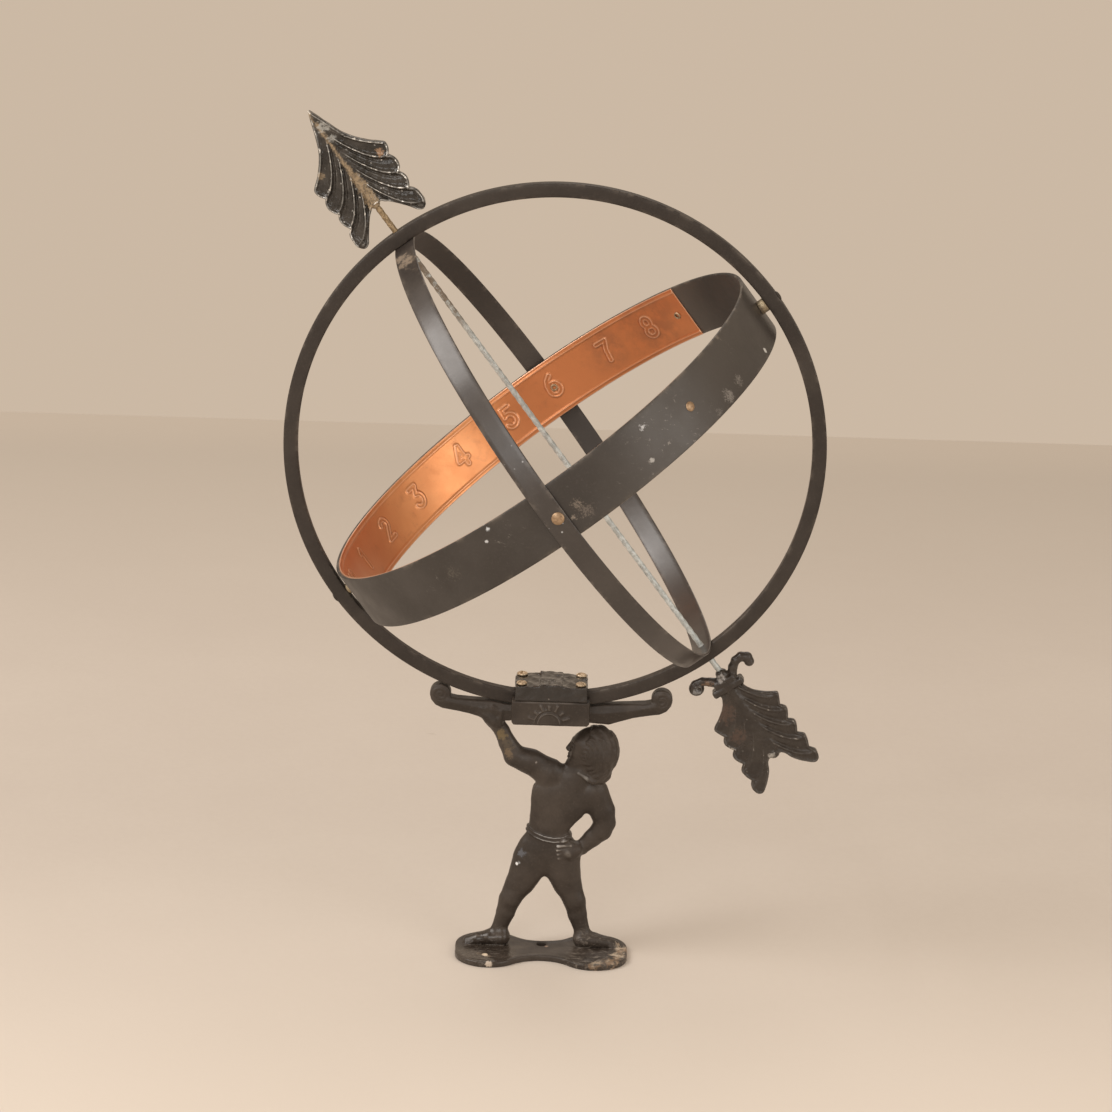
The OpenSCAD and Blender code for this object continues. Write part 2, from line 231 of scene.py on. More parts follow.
def outline_field(points, u, v):
    """Signed distance to a closed outline in the plane, negative inside."""
    pts = np.asarray(points, float)
    best, inside = np.full(np.broadcast(u, v).shape, 1e9), np.zeros(np.broadcast(u, v).shape, bool)
    for a, b in zip(pts, np.roll(pts, -1, axis=0)):
        d = b - a
        t = np.clip(((u - a[0]) * d[0] + (v - a[1]) * d[1]) / max(1e-9, d @ d), 0, 1)
        best = np.minimum(best, (u - a[0] - t * d[0])**2 + (v - a[1] - t * d[1])**2)
        if a[1] != b[1]:
            cross = (a[1] > v) != (b[1] > v)
            inside ^= cross & (u < a[0] + (v - a[1]) * d[0] / d[1])
    return np.where(inside, -1, 1) * np.sqrt(best)


def rounded(points, per=5):
    """A closed outline drawn smoothly through its points; a point that is given twice stays a corner."""
    p = np.asarray(points, float)
    out = []
    for i in range(len(p)):
        a, b, c, d = p[i - 1], p[i], p[(i + 1) % len(p)], p[(i + 2) % len(p)]
        if np.allclose(b, c):
            continue
        for k in range(per):
            t = k / per
            out.append(0.5 * (2 * b + (c - a) * t + (2 * a - 5 * b + 4 * c - d) * t**2
                              + (3 * b - a - 3 * c + d) * t**3))
    return np.array(out)


def line_field(points, u, v):
    """Distance to an open line in the plane."""
    pts = np.asarray(points, float)
    best = 1e9
    for a, b in zip(pts[:-1], pts[1:]):
        d = b - a
        t = np.clip(((u - a[0]) * d[0] + (v - a[1]) * d[1]) / max(1e-9, d @ d), 0, 1)
        best = np.minimum(best, (u - a[0] - t * d[0])**2 + (v - a[1] - t * d[1])**2)
    return np.sqrt(best)


def slab(flat_distance, across, half, r):
    """An outline given a thickness, with edges rounded to r."""
    a, b = flat_distance + r, across - half + r
    return np.minimum(np.maximum(a, b), 0) + np.sqrt(np.maximum(a, 0)**2 + np.maximum(b, 0)**2) - r


class Clay:
    """A block of clay: shapes are blended on and cut away inside windows, then it becomes a mesh."""

    def __init__(self, lo, hi, voxel):
        self.lo, self.voxel = np.array(lo, float), voxel
        self.size = np.ceil((np.array(hi, float) - self.lo) / voxel).astype(int) + 1
        self.field = np.full(self.size, 6.0, np.float32)

    def window(self, lo, hi):
        i = np.clip(np.floor((np.array(lo) - self.lo) / self.voxel).astype(int), 0, self.size)
        j = np.clip(np.ceil((np.array(hi) - self.lo) / self.voxel).astype(int) + 1, 0, self.size)
        axes = [self.lo[k] + self.voxel * np.arange(i[k], j[k]) for k in range(3)]
        p = (axes[0][:, None, None], axes[1][None, :, None], axes[2][None, None, :])
        return tuple(slice(a, b) for a, b in zip(i, j)), p

    def add(self, lo, hi, shape, blend=0.0):
        pad = blend + 2
        s, p = self.window(np.array(lo) - pad, np.array(hi) + pad)
        self.field[s] = smin(self.field[s], shape(p), blend)

    def cut(self, lo, hi, shape, blend=0.0):
        pad = blend + 2
        s, p = self.window(np.array(lo) - pad, np.array(hi) + pad)
        self.field[s] = -smin(-self.field[s], shape(p), blend)

    def limb(self, joints, flat, blend, y=0.0):
        """A chain of round limbs through joints of (x, z, radius)."""
        j = np.array(joints, float)
        r = j[:, 2].max()
        self.add((j[:, 0].min() - r, y - r, j[:, 1].min() - r), (j[:, 0].max() + r, y + r, j[:, 1].max() + r),
                 lambda p: chain_field(p, joints, flat, y), blend)

    def rod(self, a, b, ra, rb, blend=0.0, cut=False):
        """A round limb between two points in space."""
        r, a, b = max(ra, rb), np.array(a, float), np.array(b, float)
        (self.cut if cut else self.add)(np.minimum(a, b) - r, np.maximum(a, b) + r,
                                        lambda p: cone_field(p, a, b, ra, rb), blend)

    def ball(self, c, r, blend=0.0, cut=False):
        c, r = np.array(c, float), np.array(r, float) * np.ones(3)
        reach = r * (1 + blend / r.min())
        (self.cut if cut else self.add)(c - reach, c + reach, lambda p: ball_field(p, c, r), blend)

    def mesh(self):
        grid = openvdb.FloatGrid(3 * self.voxel)
        grid.copyFromArray(np.clip(self.field, -3 * self.voxel, 3 * self.voxel).astype(np.float32))
        grid.transform = openvdb.createLinearTransform(voxelSize=self.voxel)
        points, quads = grid.convertToQuads(isovalue=0.0)
        points = np.asarray(points, float) + self.lo
        q = points[np.asarray(quads)]
        volume = np.einsum("ij,ij->i", q[:, 0], np.cross(q[:, 1], q[:, 2])).sum()
        volume += np.einsum("ij,ij->i", q[:, 0], np.cross(q[:, 2], q[:, 3])).sum()
        return points, np.asarray(quads)[:, ::-1] if volume < 0 else np.asarray(quads)


# ------------------------------------------------------------------ the Atlas casting

LEG_LEFT = [(-9.5, 61, 10), (-15.5, 45, 8.6), (-21, 34, 7), (-23.5, 25, 6), (-27.3, 14, 4.9), (-29.5, 8, 4.8)]
LEG_RIGHT = [(12, 61, 10.8), (16.3, 45, 8.6), (20.6, 34, 7), (22.6, 25, 6.1), (26, 14, 4.9), (28.5, 8, 4.8)]
RAISED_ARM = [(2, 121, 9.5), (-10, 127.5, 7.8), (-20, 131.5, 7.2), (-25, 140, 5.6), (-28.8, 148, 4.9),
              (-35, 157, 5.6)]
AKIMBO_ARM = [(30.5, 108, 10), (36.6, 96, 8.2), (38.4, 88, 7), (36.2, 82.6, 6.8), (31, 77.5, 5.9),
              (24, 70.6, 4.7), (17, 68.5, 4.9)]
HEAD = (29.5, 136.5)  # middle of the head
HEAD_TILT = math.radians(14)
BELT = [(-11, 83.4), (-7, 81), (0, 78.6), (6, 77.6), (11, 77.8), (16, 79.2)]


def base_outline():
    """The plate's outline: two lobes and hollow sides between them, in x and y."""
    lobe, lobe_r, waist = (33.75, 6.5), 21.5, 13.5
    dip = waist - lobe[1]
    hollow_r = (lobe[0]**2 + dip**2 - lobe_r**2) / (2 * (lobe_r - dip))
    hollow = (0.0, hollow_r + waist)
    meet = math.atan2(hollow[1] - lobe[1], -lobe[0])
    quarter = [(lobe[0] + lobe_r * math.cos(meet * i / 18), lobe[1] + lobe_r * math.sin(meet * i / 18))
               for i in range(19)]
    start, end = meet - math.pi, -math.pi / 2
    quarter += [(hollow_r * math.cos(start + (end - start) * i / 10),
                 hollow[1] + hollow_r * math.sin(start + (end - start) * i / 10)) for i in range(1, 11)]
    back = quarter + [(-x, y) for x, y in quarter[-2::-1]]
    return [(x, y - 7.5) for x, y in back + [(x, -y) for x, y in back[::-1]]]


def add_base(clay):
    outline = base_outline()

    def plate(p):
        d = outline_field(outline, p[0][:, :, 0], p[1][:, :, 0])[:, :, None]
        rim = 0.45 * swell(d, -2.2, 1.5)
        top = BASE_T - 0.45 + rim + 0.12 * ripple(p, 14, 3)
        return np.maximum(slab(d, np.abs(p[2] - 1.0), 3.0, 1.3) + 0 * p[2],
                          np.maximum(-p[2], p[2] - top))

    clay.add((-56, -37, 0), (56, 22, 5), plate)
    for x, y, r, h in ((-35.6, -21.7, 2.6, 0.7), (37.5, -27.5, 3.4, 0.6),
                       (30, -24, 2.4, 0.5), (-30, -30, 2, 0.4)):
        clay.ball((x, y, BASE_T - 0.6), (r, r, h + 0.3), 1.2)
    clay.cut((-4, -4, -2), (4, 4, 8), lambda p: np.sqrt(p[0]**2 + p[1]**2) + 0 * p[2] - HOLE_R, 0.6)


def add_body(clay):
    for leg, side in ((LEG_LEFT, -1), (LEG_RIGHT, 1)):
        clay.limb(leg, 0.66, 1.5)
        clay.ball((side * 20.8, -2.6, 35), (4.6, 2.6, 5), 3)  # kneecap
        foot = ((26, 8.0, 5.8), (33.5, 7.4, 5.0), (41, 6.2, 4.1), (47.5, 4.8, 2.9))
        clay.limb([(side * x, z, r) for x, z, r in foot], 1.15, 3.0)
        for toe in range(4):
            y = -3.4 + 2.2 * toe
            clay.rod((side * 45, y, 4.4), (side * 49.2 - side * abs(toe - 1.2) * 0.7, y, 3.8), 1.3, 1.1, 1.6)
    clay.limb([(-3.5, 67, 14), (9, 66, 13.8)], 0.5, 3)
    clay.limb([(2, 70, 15), (2.7, 83, 12.2), (6, 106, 13.2), (25, 106, 12)], 0.52, 3)
    clay.limb([(5.5, 85, 8), (16, 98, 10)], 0.7, 1.0)
    clay.limb([(15, 116, 11), (27, 127, 9)], 0.6, 3)
    for side in (-1, 1):  # soft muscles, front and back
        clay.ball((1, side * 3.8, 107), (8, 2.8, 8), 3)
        clay.ball((17, side * 4.0, 107), (9, 2.8, 8), 4)
        clay.ball((4, side * 3.9, 92), (9, 2.4, 11), 5)
        clay.ball((-9, side * 3.4, 56), (7, 3.6, 11), 5)
        clay.ball((12, side * 3.6, 56), (7, 3.6, 11), 5)


def add_arms(clay):
    clay.limb(RAISED_ARM, 0.8, 2.5)
    clay.ball((-11, -0.5, 128.5), (9, 6, 7), 3)
    clay.limb(AKIMBO_ARM, 0.74, 1.6)
    # Raised hand: a palm that widens into the beam, with fingers and a thumb lying on the beam's face.
    for side in (-1, 1):
        clay.rod((-34.5, side * 2.2, 156), (-43.0, side * 3.4, 162.0), 4.4, 2.4, 3)
        clay.rod((-31, side * 3.2, 154), (-29.0, side * 4.3, 162.4), 2.4, 1.5, 1.6)
        for i in range(3):
            knuckle = (-36.0 + 3.1 * i, side * 4.0, 160.0 + 1.0 * i)
            clay.rod(knuckle, (-41.4 + 3.3 * i, side * 4.6, 164.0 + 0.8 * i), 1.5, 1.1, 1.3)
    # Hand on the hip: four fingers lie across the shorts.
    clay.rod((20.5, -3.8, 70.5), (15.8, -5.2, 69), 4.4, 4.6, 2.5)
    for i in range(4):
        z = 73.6 - 2.75 * i
        clay.rod((17.0, -6.6, z + 0.1), (8.6 + 0.5 * abs(i - 1), -7.2, z), 1.3, 1.1, 0.7)
    clay.rod((17.5, -5.0, 74.5), (13.0, -6.3, 77.0), 1.6, 1.3, 1.2)


def add_clothes(clay):
    """A flat belt with a fine line along each edge."""
    s, p = clay.window((-13, -10, 74), (18, 10, 87))
    d = line_field(BELT, p[0], p[2]) + 0 * p[1]
    lift = 0.55 * step(1.9 - d, 0, 0.8) + 0.45 * swell(d, 1.5, 0.5)
    clay.field[s] -= (lift * step(3 - np.abs(clay.field[s]), 0, 2)).astype(np.float32)


def add_head(clay):
    cx, cz = HEAD
    fwd = np.array([-math.cos(HEAD_TILT), 0, math.sin(HEAD_TILT)])
    up = np.array([math.sin(HEAD_TILT), 0, math.cos(HEAD_TILT)])

    def at(a, y, b):
        """a forward from the head's middle, y sideways, b upwards."""
        q = np.array([cx, 0, cz]) + a * fwd + b * up
        return (q[0], y, q[2])

    clay.limb([(19, 116, 8), (25, 127, 7.5)], 0.85, 2.5)  # neck
    clay.ball(at(0, 0, 1.5), (14.3, 9.6, 14.5), 1)  # skull
    for side in (-1, 1):
        clay.rod(at(7.6, side * 2.4, 3), at(8.8, side * 1.4, -7), 6.2, 4.8, 2)  # face
        clay.rod(at(2, side * 5.2, -6), at(10, side * 1.8, -10.8), 3.2, 2.8, 2)  # jaw
        clay.ball(at(9.4, side * 4.8, -3), (2.8, 2.4, 2.8), 2)  # cheek
        clay.rod(at(13.4, side * 1.2, 3.9), at(11.2, side * 5.4, 3.6), 1.4, 1.1, 1.2)  # brow
        clay.ball(at(13.6, side * 4.4, 1.2), (2.5, 2.4, 1.7), 0.8, cut=True)  # eye socket
        clay.ball(at(11.6, side * 4.2, 1.1), (1.9, 1.9, 1.6), 0.2)  # eye
        clay.rod(at(13.1, side * 3.0, 2.2), at(11.4, side * 5.9, 1.9), 0.6, 0.5, 0.3)  # lid
        clay.ball(at(14.7, side * 1.4, -3.3), (1.3, 1.0, 1.0), 0.8)  # side of the nose
        clay.rod(at(14.2, 0, -6.0), at(12.6, side * 2.7, -6.4), 0.85, 0.5, 0.5)  # upper lip
        clay.rod(at(14.0, 0, -7.9), at(12.5, side * 2.4, -7.6), 0.95, 0.5, 0.5)  # lower lip
    clay.rod(at(13.7, 0, 3.0), at(15.9, 0, -2.6), 1.1, 1.3, 1.4)  # nose
    clay.ball(at(11.6, 0, -11.2), (3.0, 3.2, 2.4), 1.5)  # chin
    clay.rod(at(15.2, 0, -6.95), at(12.6, 2.8, -6.95), 0.3, 0.3, 0.3, cut=True)  # mouth
    clay.rod(at(15.2, 0, -6.95), at(12.6, -2.8, -6.95), 0.3, 0.3, 0.3, cut=True)

    # Long wavy hair: a cap from the crown and a bob to the shoulder, with locks.
    lo, hi = (cx - 22, -13, cz - 26), (cx + 21, 13, cz + 20)
    s, p = clay.window(lo, hi)
    cap = ball_field(p, (cx + 1.6, 0, cz + 1.5), (15.2, 10.6, 15.6))
    bob = cone_field(p, (cx + 4, 0, cz - 4), (cx + 3.5, 0, cz - 13.5), 11.8, 9.2, 0.92)
    shape = smin(cap, bob, 3)
    # The face stays free: hair only behind a line from the forehead past the ear to the jaw.
    a = (p[0] - cx) * fwd[0] + (p[2] - cz) * fwd[2]
    b = (p[0] - cx) * up[0] + (p[2] - cz) * up[2]
    fringe = 7.6 + 0.25 * np.maximum(b - 6, 0) - 0.3 * np.maximum(b + 1, 0) - 3.0 * step(-b, -2, 7)
    shape = np.maximum(shape, (a - fringe - 0.7 * np.sin(b * 1.1)) * 0.9)
    lock, turn = np.sqrt((a - 6)**2 + (b + 3)**2), np.arctan2(b + 3, 6 - a)
    curl = lock + 1.1 * np.sin(3.2 * turn + 0.5) + 0.9 * ripple(p, 9, 17) + 0.2 * np.abs(p[1])
    wave = np.sin(2 * math.pi * curl / 3.3)
    shape = shape - (0.24 * wave + 0.12 * ripple(p, 4, 18)) * step(np.abs(turn), 3.0, 2.4)
    clay.field[s] = smin(clay.field[s], shape.astype(np.float32), 0.5)
    for side in (-1, 1):  # curled end of a lock
        clay.rod((cx - 8.5, side * 5.2, cz - 13.5), (cx + 0.5, side * 6.4, cz - 18.6), 1.9, 2.2, 0.8)
        clay.rod((cx + 0.5, side * 6.4, cz - 18.6), (cx + 6, side * 5.2, cz - 18.4), 2.2, 1.6, 0.8)


YOKE_HALF = [(0, -13), (24, -16.5), (37, -17.5), (52, -12.5), (60, -11), (69, -9.6), (73.5, -7.6),
             (76.3, -4), (76.6, -1), (70, 0), (60, -2.5), (31, -4), (0, -4)]
RIDGE = [(20, -9.5), (34, -9.6), (52, -7.2), (66, -4.4)]


def add_yoke(clay):
    def beam(p):
        u, v = np.abs(p[0][:, 0, :] - YOKE_X), p[2][:, 0, :] - SCROLL_Z
        u, v = u + 0 * v, v + 0 * u
        d = outline_field(YOKE_HALF, u, v)[:, None, :]
        ridge = line_field(RIDGE, u, v)[:, None, :]
        half = 3.6 + 2.0 * np.clip(1 - ridge / 8.5, 0, 1)**1.2
        return slab(d, np.abs(p[1]), half, 1.3)

    clay.add((-76, -6, 150), (80, 6, 174), beam, 1.0)
    for side in (-1, 1):
        cx = YOKE_X + side * 70.3

        def scroll(p, cx=cx, side=side):
            u, v = (p[0] - cx) * side, p[2] - SCROLL_Z
            r = np.sqrt(u**2 + v**2)
            turn = np.mod(np.arctan2(v, -u) + 2.2, 2 * math.pi) / (2 * math.pi)
            coil = np.minimum(np.abs(np.mod(r - 2.55 * turn - 1.2, 2.55) - 1.27), 9)
            groove = 0.4 * step(coil, 0.55, 1.2) * (r > 0.6) * (r < 6.2)
            half = 5.0 - 0.9 * step(r, 4.5, 6.7) - groove
            return slab(r - 6.7, np.abs(p[1]), half, 0.9)

        clay.add((cx - 7, -6, SCROLL_Z - 7), (cx + 7, 6, SCROLL_Z + 7), scroll, 0.5)
    # Clearance for the ring along the yoke.
    clay.cut((-70, -9, 155), (74, 9, 185),
             lambda p: np.sqrt(p[0]**2 + (p[2] - CENTRE_Z)**2) + 0 * p[1] - RING_R - 0.9)


def channel(p):
    """The clamp's channel round the meridian ring."""
    off = np.abs(np.sqrt(p[0]**2 + (p[2] - CENTRE_Z)**2) - (RING_R + RING_IN_R) / 2)
    return np.maximum(off - RING_T / 2 - CHANNEL_PLAY, np.abs(p[1]) - RING_W / 2 - CHANNEL_PLAY)


def add_saddle(clay):
    def block(p):
        u, v = np.abs(p[0] - YOKE_X), p[2]
        foot = 1.1 * step(SADDLE_Z + 2.2 - p[2], 0, 2.2)
        flat = np.maximum(u - SADDLE_HALF + foot, np.abs(v - (SADDLE_Z + SEAM_Z) / 2) - (SEAM_Z - SADDLE_Z) / 2)
        return slab(flat, np.abs(p[1]), CLAMP_HALF, 0.9)

    clay.add((-23, -15, SADDLE_Z), (27, 15, SEAM_Z), block, 0.8)
    # Half sun with rays at the foot of the front and the back.
    s, p = clay.window((-14, -17, SADDLE_Z), (20, 17, SEAM_Z))
    u, v = p[0] - YOKE_X + 1.0, p[2] - SADDLE_Z - 1.2
    r, a = np.sqrt(u**2 + v**2), np.arctan2(v, u)
    arc = np.maximum(swell(r, 7.0, 0.6), swell(r, 9.4, 0.5) * (a > 1.7))
    rays = 0
    for i in range(7):
        b = math.radians(18 + 24 * i)
        away = np.abs(np.sin(a - b)) * r
        rays = np.maximum(rays, swell(away, 0, 0.35 + 0.05 * r) * step(r, 8.6, 9.4)
                          * step(14.6 - 1.6 * (i % 2) - r, 0, 1.5) * (np.cos(a - b) > 0))
    lift = (1.0 * np.maximum(arc, rays) + 0.3 * step(6.6 - r, 0, 1)) * (v > 0) + 0 * p[1]
    near = step(3 - np.abs(clay.field[s]), 0, 2) * (np.abs(p[1]) > 12)
    clay.field[s] -= (lift * near).astype(np.float32)
    clay.cut((-26, -5, 160), (30, 5, 180), channel)


def build_pedestal():
    clay = Clay((-78, -40, -2), (84, 26, 190), 0.55)
    add_body(clay)
    add_arms(clay)
    add_head(clay)
    add_clothes(clay)
    add_yoke(clay)
    add_saddle(clay)
    add_base(clay)
    s, p = clay.window((-78, -40, -2), (84, 26, 190))
    uneven = (0.09 * ripple(p, 11, 11) + 0.03 * ripple(p, 4, 12)).astype(np.float32)
    clay.field[s] += uneven * step(p[2], 0.5, 2)
    clay.cut((-60, -40, -3), (60, 26, 0), lambda p: p[2] + 0 * p[0] + 0 * p[1])
    return make("atlas_casting", *clay.mesh(), "stand", "atlas_pedestal", "cast_paint", cast_paint())


def build_cap():
    clay = Clay((-26, -19, 168), (30, 19, 188), 0.4)

    def block(p):
        u = np.abs(p[0] - YOKE_X)
        flat = np.maximum(u - CAP_HALF, np.abs(p[2] - (SEAM_Z + CAP_TOP) / 2) - (CAP_TOP - SEAM_Z) / 2)
        hump = np.maximum(u - 7.2, np.abs(p[2] - CAP_TOP) - 1.3)
        return slab(smin(flat, hump, 1.2), np.abs(p[1]), CLAMP_HALF, 0.9)

    clay.add((-21, -15, SEAM_Z), (25, 15, CAP_TOP + 2), block)
    s, p = clay.window((-26, -19, 168), (30, 19, 188))
    rough = 0.38 * ripple(p, 8, 31) + 0.10 * ripple(p, 4.5, 32)
    rough = rough * step(p[2], SEAM_Z + 0.5, SEAM_Z + 6) + 0.25 * step(p[2], SEAM_Z, CAP_TOP)
    clay.field[s] += rough.astype(np.float32)
    # Flat seats under the screw heads.
    for cx in (YOKE_X - SCREW_X, YOKE_X + SCREW_X):
        for cy in (-SCREW_Y, SCREW_Y):
            clay.cut((cx - 5, cy - 5, CAP_TOP - 1), (cx + 5, cy + 5, CAP_TOP + 3),
                     lambda p, cx=cx, cy=cy: np.maximum(np.sqrt((p[0] - cx)**2 + (p[1] - cy)**2) - 4.3,
                                                        CAP_TOP - 0.15 - p[2]), 0.4)
    clay.cut((-26, -19, 165), (30, 19, SEAM_Z + 0.05), lambda p: p[2] - SEAM_Z - 0.05 + 0 * p[0] + 0 * p[1])
    clay.cut((-26, -5, 165), (30, 5, 180), channel)
    return make("clamp_cap_casting", *clay.mesh(), "stand", "clamp_cap", "cap_paint", cap_paint())


# ------------------------------------------------------------------ arrow castings

# Half outlines, sideways and along the rod; a point given twice is a sharp notch.
HEAD_EDGE = [(0.8, 71.5), (4.5, 62), (8.5, 51.5), (13, 44), (20, 36), (26, 31), (27.2, 28.5), (26.4, 25),
             (24, 22), (24, 22), (26.2, 19), (26.6, 15), (25.2, 11.5), (23.2, 9.5), (23.2, 9.5), (25.2, 6),
             (24.8, 1.5), (22.6, -2), (22.6, -2), (25.4, -5), (26.2, -11), (25.2, -15.6), (22.4, -18),
             (19.2, -17), (16.2, -13), (9, -4), (5, -0.5), (3, 1)]
TAIL_EDGE = [(8, 12), (8.3, 16), (12, 22), (18, 27), (23, 30.3), (23.5, 33), (20.9, 38.7), (20.9, 38.7),
             (23, 41.5), (22.8, 45), (20.2, 49.5), (20.2, 49.5), (22.9, 52), (22.7, 56), (20.4, 60.4),
             (20.4, 60.4), (23.4, 63.5), (23.3, 68), (21.6, 72.8), (21.6, 72.8), (23.8, 76), (23.8, 80),
             (22.2, 83), (18.8, 83.4), (13, 78.5), (8.6, 73.3), (4.6, 66.5)]

HEAD_NOTCHES = (22, 9.8, -2, -13.5)     # where the ridges of the feathers end, along the rod
TAIL_TIPS = (32, 43, 54, 65, 77)


def mirrored(half, shift=0.0):
    return [(x + shift, z) for x, z in half] + [(shift - x, z) for x, z in half[::-1]]


def feather_line(out, s, reach, sweep):
    """Where the ridge through a point ends at the barbs: ridges leave the spine steeply, then turn outwards."""
    return s - sweep * np.clip(1 - out / reach, 0, 1)**2


def blade_half(p, outline, shift, height):
    """A flat casting whose half thickness is height(out, side, s, d)."""
    t, s = p[0][:, 0, :] + 0 * p[2][:, 0, :], p[2][:, 0, :] + 0 * p[0][:, 0, :]
    d = outline_field(outline, t, s)
    half = height(np.abs(t - shift), t - shift, s, d) + 0.08 * ripple((t, 0, s), 5, 21)
    return slab(d[:, None, :], np.abs(p[1]), half[:, None, :], 0.8)


def build_arrow_head():
    clay = Clay((-31, -6, -22), (31, 6, 75), 0.4)
    outline = rounded(mirrored(HEAD_EDGE, HEAD_SHIFT), 4)

    def height(out, t, s, d):
        line = feather_line(out, s, 26, 34)
        crest = np.maximum.reduce([swell(line, notch, 1.45) for notch in HEAD_NOTCHES])
        groove = np.maximum.reduce([swell(line, notch - 3.2, 1.6) for notch in HEAD_NOTCHES])
        fade = step(out, 1.0, 5.0)
        mid = swell(feather_line(out, s, 26, 30), 34, 1.4) * step(out, 2, 6)
        rim = swell(d, -0.9, 0.85)
        return 1.55 + fade * (1.4 * crest - 0.8 * groove) + 0.6 * mid + 1.0 * rim + 0.9 * swell(out, 0, 2.6)

    clay.add((-28, -4, -19), (29, 4, 72), lambda p: blade_half(p, outline, HEAD_SHIFT, height), 0.3)
    clay.rod((0, 0, 1.2), (0.7, 0, 30), 3.0, 2.4, 0.9)
    clay.rod((0.7, 0, 30), (1, 0, 67), 2.4, 1.0, 0.9)
    clay.rod((0.2, -1.0, 67), (3.4, -1.2, 62.5), 1.4, 1.0, 0.8)
    for side in (-1, 1):  # rolled ends of the last barbs
        clay.rod((HEAD_SHIFT + side * 24.2, 0, -7), (HEAD_SHIFT + side * 22.2, 0, -14.6), 1.9, 2.9, 0.6)
    s, p = clay.window((-31, -6, -22), (31, 6, 75))
    clay.field[s] += (0.07 * ripple(p, 4, 41) + 0.04 * ripple(p, 2, 42)).astype(np.float32)
    clay.cut((-3, -3, -4), (3, 3, 10), lambda p: np.maximum(np.sqrt(p[0]**2 + p[1]**2) - 2.0, p[2] - 10), 0.2)
    place = POLAR @ Matrix.Translation((0, 0, HEAD_S * MM))
    return make("arrow_head_casting", *clay.mesh(), "arrow", "arrow_head", "head_paint", head_paint(), place)


def build_arrow_tail():
    clay = Clay((-31, -8, -10), (31, 8, 88), 0.4)
    outline = rounded(mirrored(TAIL_EDGE), 4)

    def height(out, t, s, d):
        line = feather_line(out, -s, 23, 27)
        crest = np.maximum.reduce([swell(line, -tip, 1.5) for tip in TAIL_TIPS])
        groove = np.maximum.reduce([swell(line, 3.4 - tip, 1.8) for tip in TAIL_TIPS])
        strong = step(out, 2.0, 6.0) * np.where(t > 0, 1.0, 0.45)
        rim = swell(d, -0.9, 0.85)
        return 1.6 + strong * (0.95 * crest - 0.6 * groove) + 0.7 * rim + 0.9 * swell(out, 0, 4.5)

    clay.add((-26, -4, 10), (26, 4, 86), lambda p: blade_half(p, outline, 0.0, height), 0.4)
    clay.rod((0, 0, 10), (0, 0, 34), 3.8, 2.4, 2.5)
    clay.ball((0, 0, 64.5), (4.0, 3.2, 3.6), 0.4)
    # Neck, and the two steps of the collar.
    clay.rod((0, 0, 2.5), (0, 0, 9), 4.0, 5.0, 1.0)
    for z, half_w, half_h, deep in ((11.3, 11.0, 2.5, 4.8), (6.8, 7.6, 2.4, 4.6)):
        clay.add((-12, -6, z - 3), (12, 6, z + 3), lambda p, z=z, w=half_w, h=half_h, deep=deep: slab(
            slab(np.abs(p[0] + 0.8) - w, np.abs(p[2] - z), h, 1.6) + 0 * p[1], np.abs(p[1]), deep, 1.8), 1.2)
    # Scrolled arms: the left one ends in a ball, the right one in a hook.
    clay.limb([(-5, 6, 3.2), (-9, 3.0, 2.8), (-13, 0.0, 2.6), (-18, -0.6, 2.9)], 1.0, 1.2)
    clay.ball((-18.6, 0, 2.0), (5.0, 4.0, 4.8), 0.6)
    clay.ball((-17.6, -3.6, 2.6), (1.9, 1.6, 1.9), 0.4, cut=True)
    clay.limb([(5, 6.5, 3.2), (8.4, 2.0, 2.9), (12.2, -0.9, 2.8), (16.6, -1.2, 3.0), (19.6, 1.2, 3.2),
               (19.3, 4.2, 3.2)], 1.0, 1.2)
    s, p = clay.window((-31, -8, -10), (31, 8, 88))
    clay.field[s] += (0.08 * ripple(p, 4, 51) + 0.04 * ripple(p, 2, 52)).astype(np.float32)
    clay.cut((-3, -3, -4), (3, 3, 20), lambda p: np.maximum(np.sqrt(p[0]**2 + p[1]**2) - 2.0, p[2] - 20), 0.2)
    points, quads = clay.mesh()
    place = (POLAR @ Matrix.Diagonal((1, 1, -1, 1)) @ Matrix.Translation((0, 0, TAIL_S * MM))
             @ Matrix.Rotation(TAIL_SKEW, 4, "Y"))
    return make("arrow_tail_casting", points, quads[:, ::-1], "arrow", "arrow_tail", "tail_paint", tail_paint(),
                place)


# ------------------------------------------------------------------ rings and strips

def circle_path(radius, n=480):
    """A closed circle about Z, with the directions outwards and along Z at each point."""
    a = np.radians(np.linspace(0, 360, n, endpoint=False))
    radial = np.stack([np.cos(a), np.sin(a), 0 * a], 1)
    return radius * radial, radial, np.tile([0.0, 0.0, 1.0], (n, 1))


def build_meridian_ring():
    path, radial, axial = circle_path((RING_R + RING_IN_R) / 2)
    outline = split_flats(rounded_box(RING_T, RING_W, 0.9), 2.0)
    points, faces = sweep(path, radial, axial, outline)
    place = Matrix.Translation((0, 0, CENTRE_Z * MM)) @ Matrix.Rotation(math.pi / 2, 4, "X")
    return fuse(make("meridian_ring_bar", points, faces, "sphere", "meridian_ring", "ring_paint", ring_paint(),
                     place))


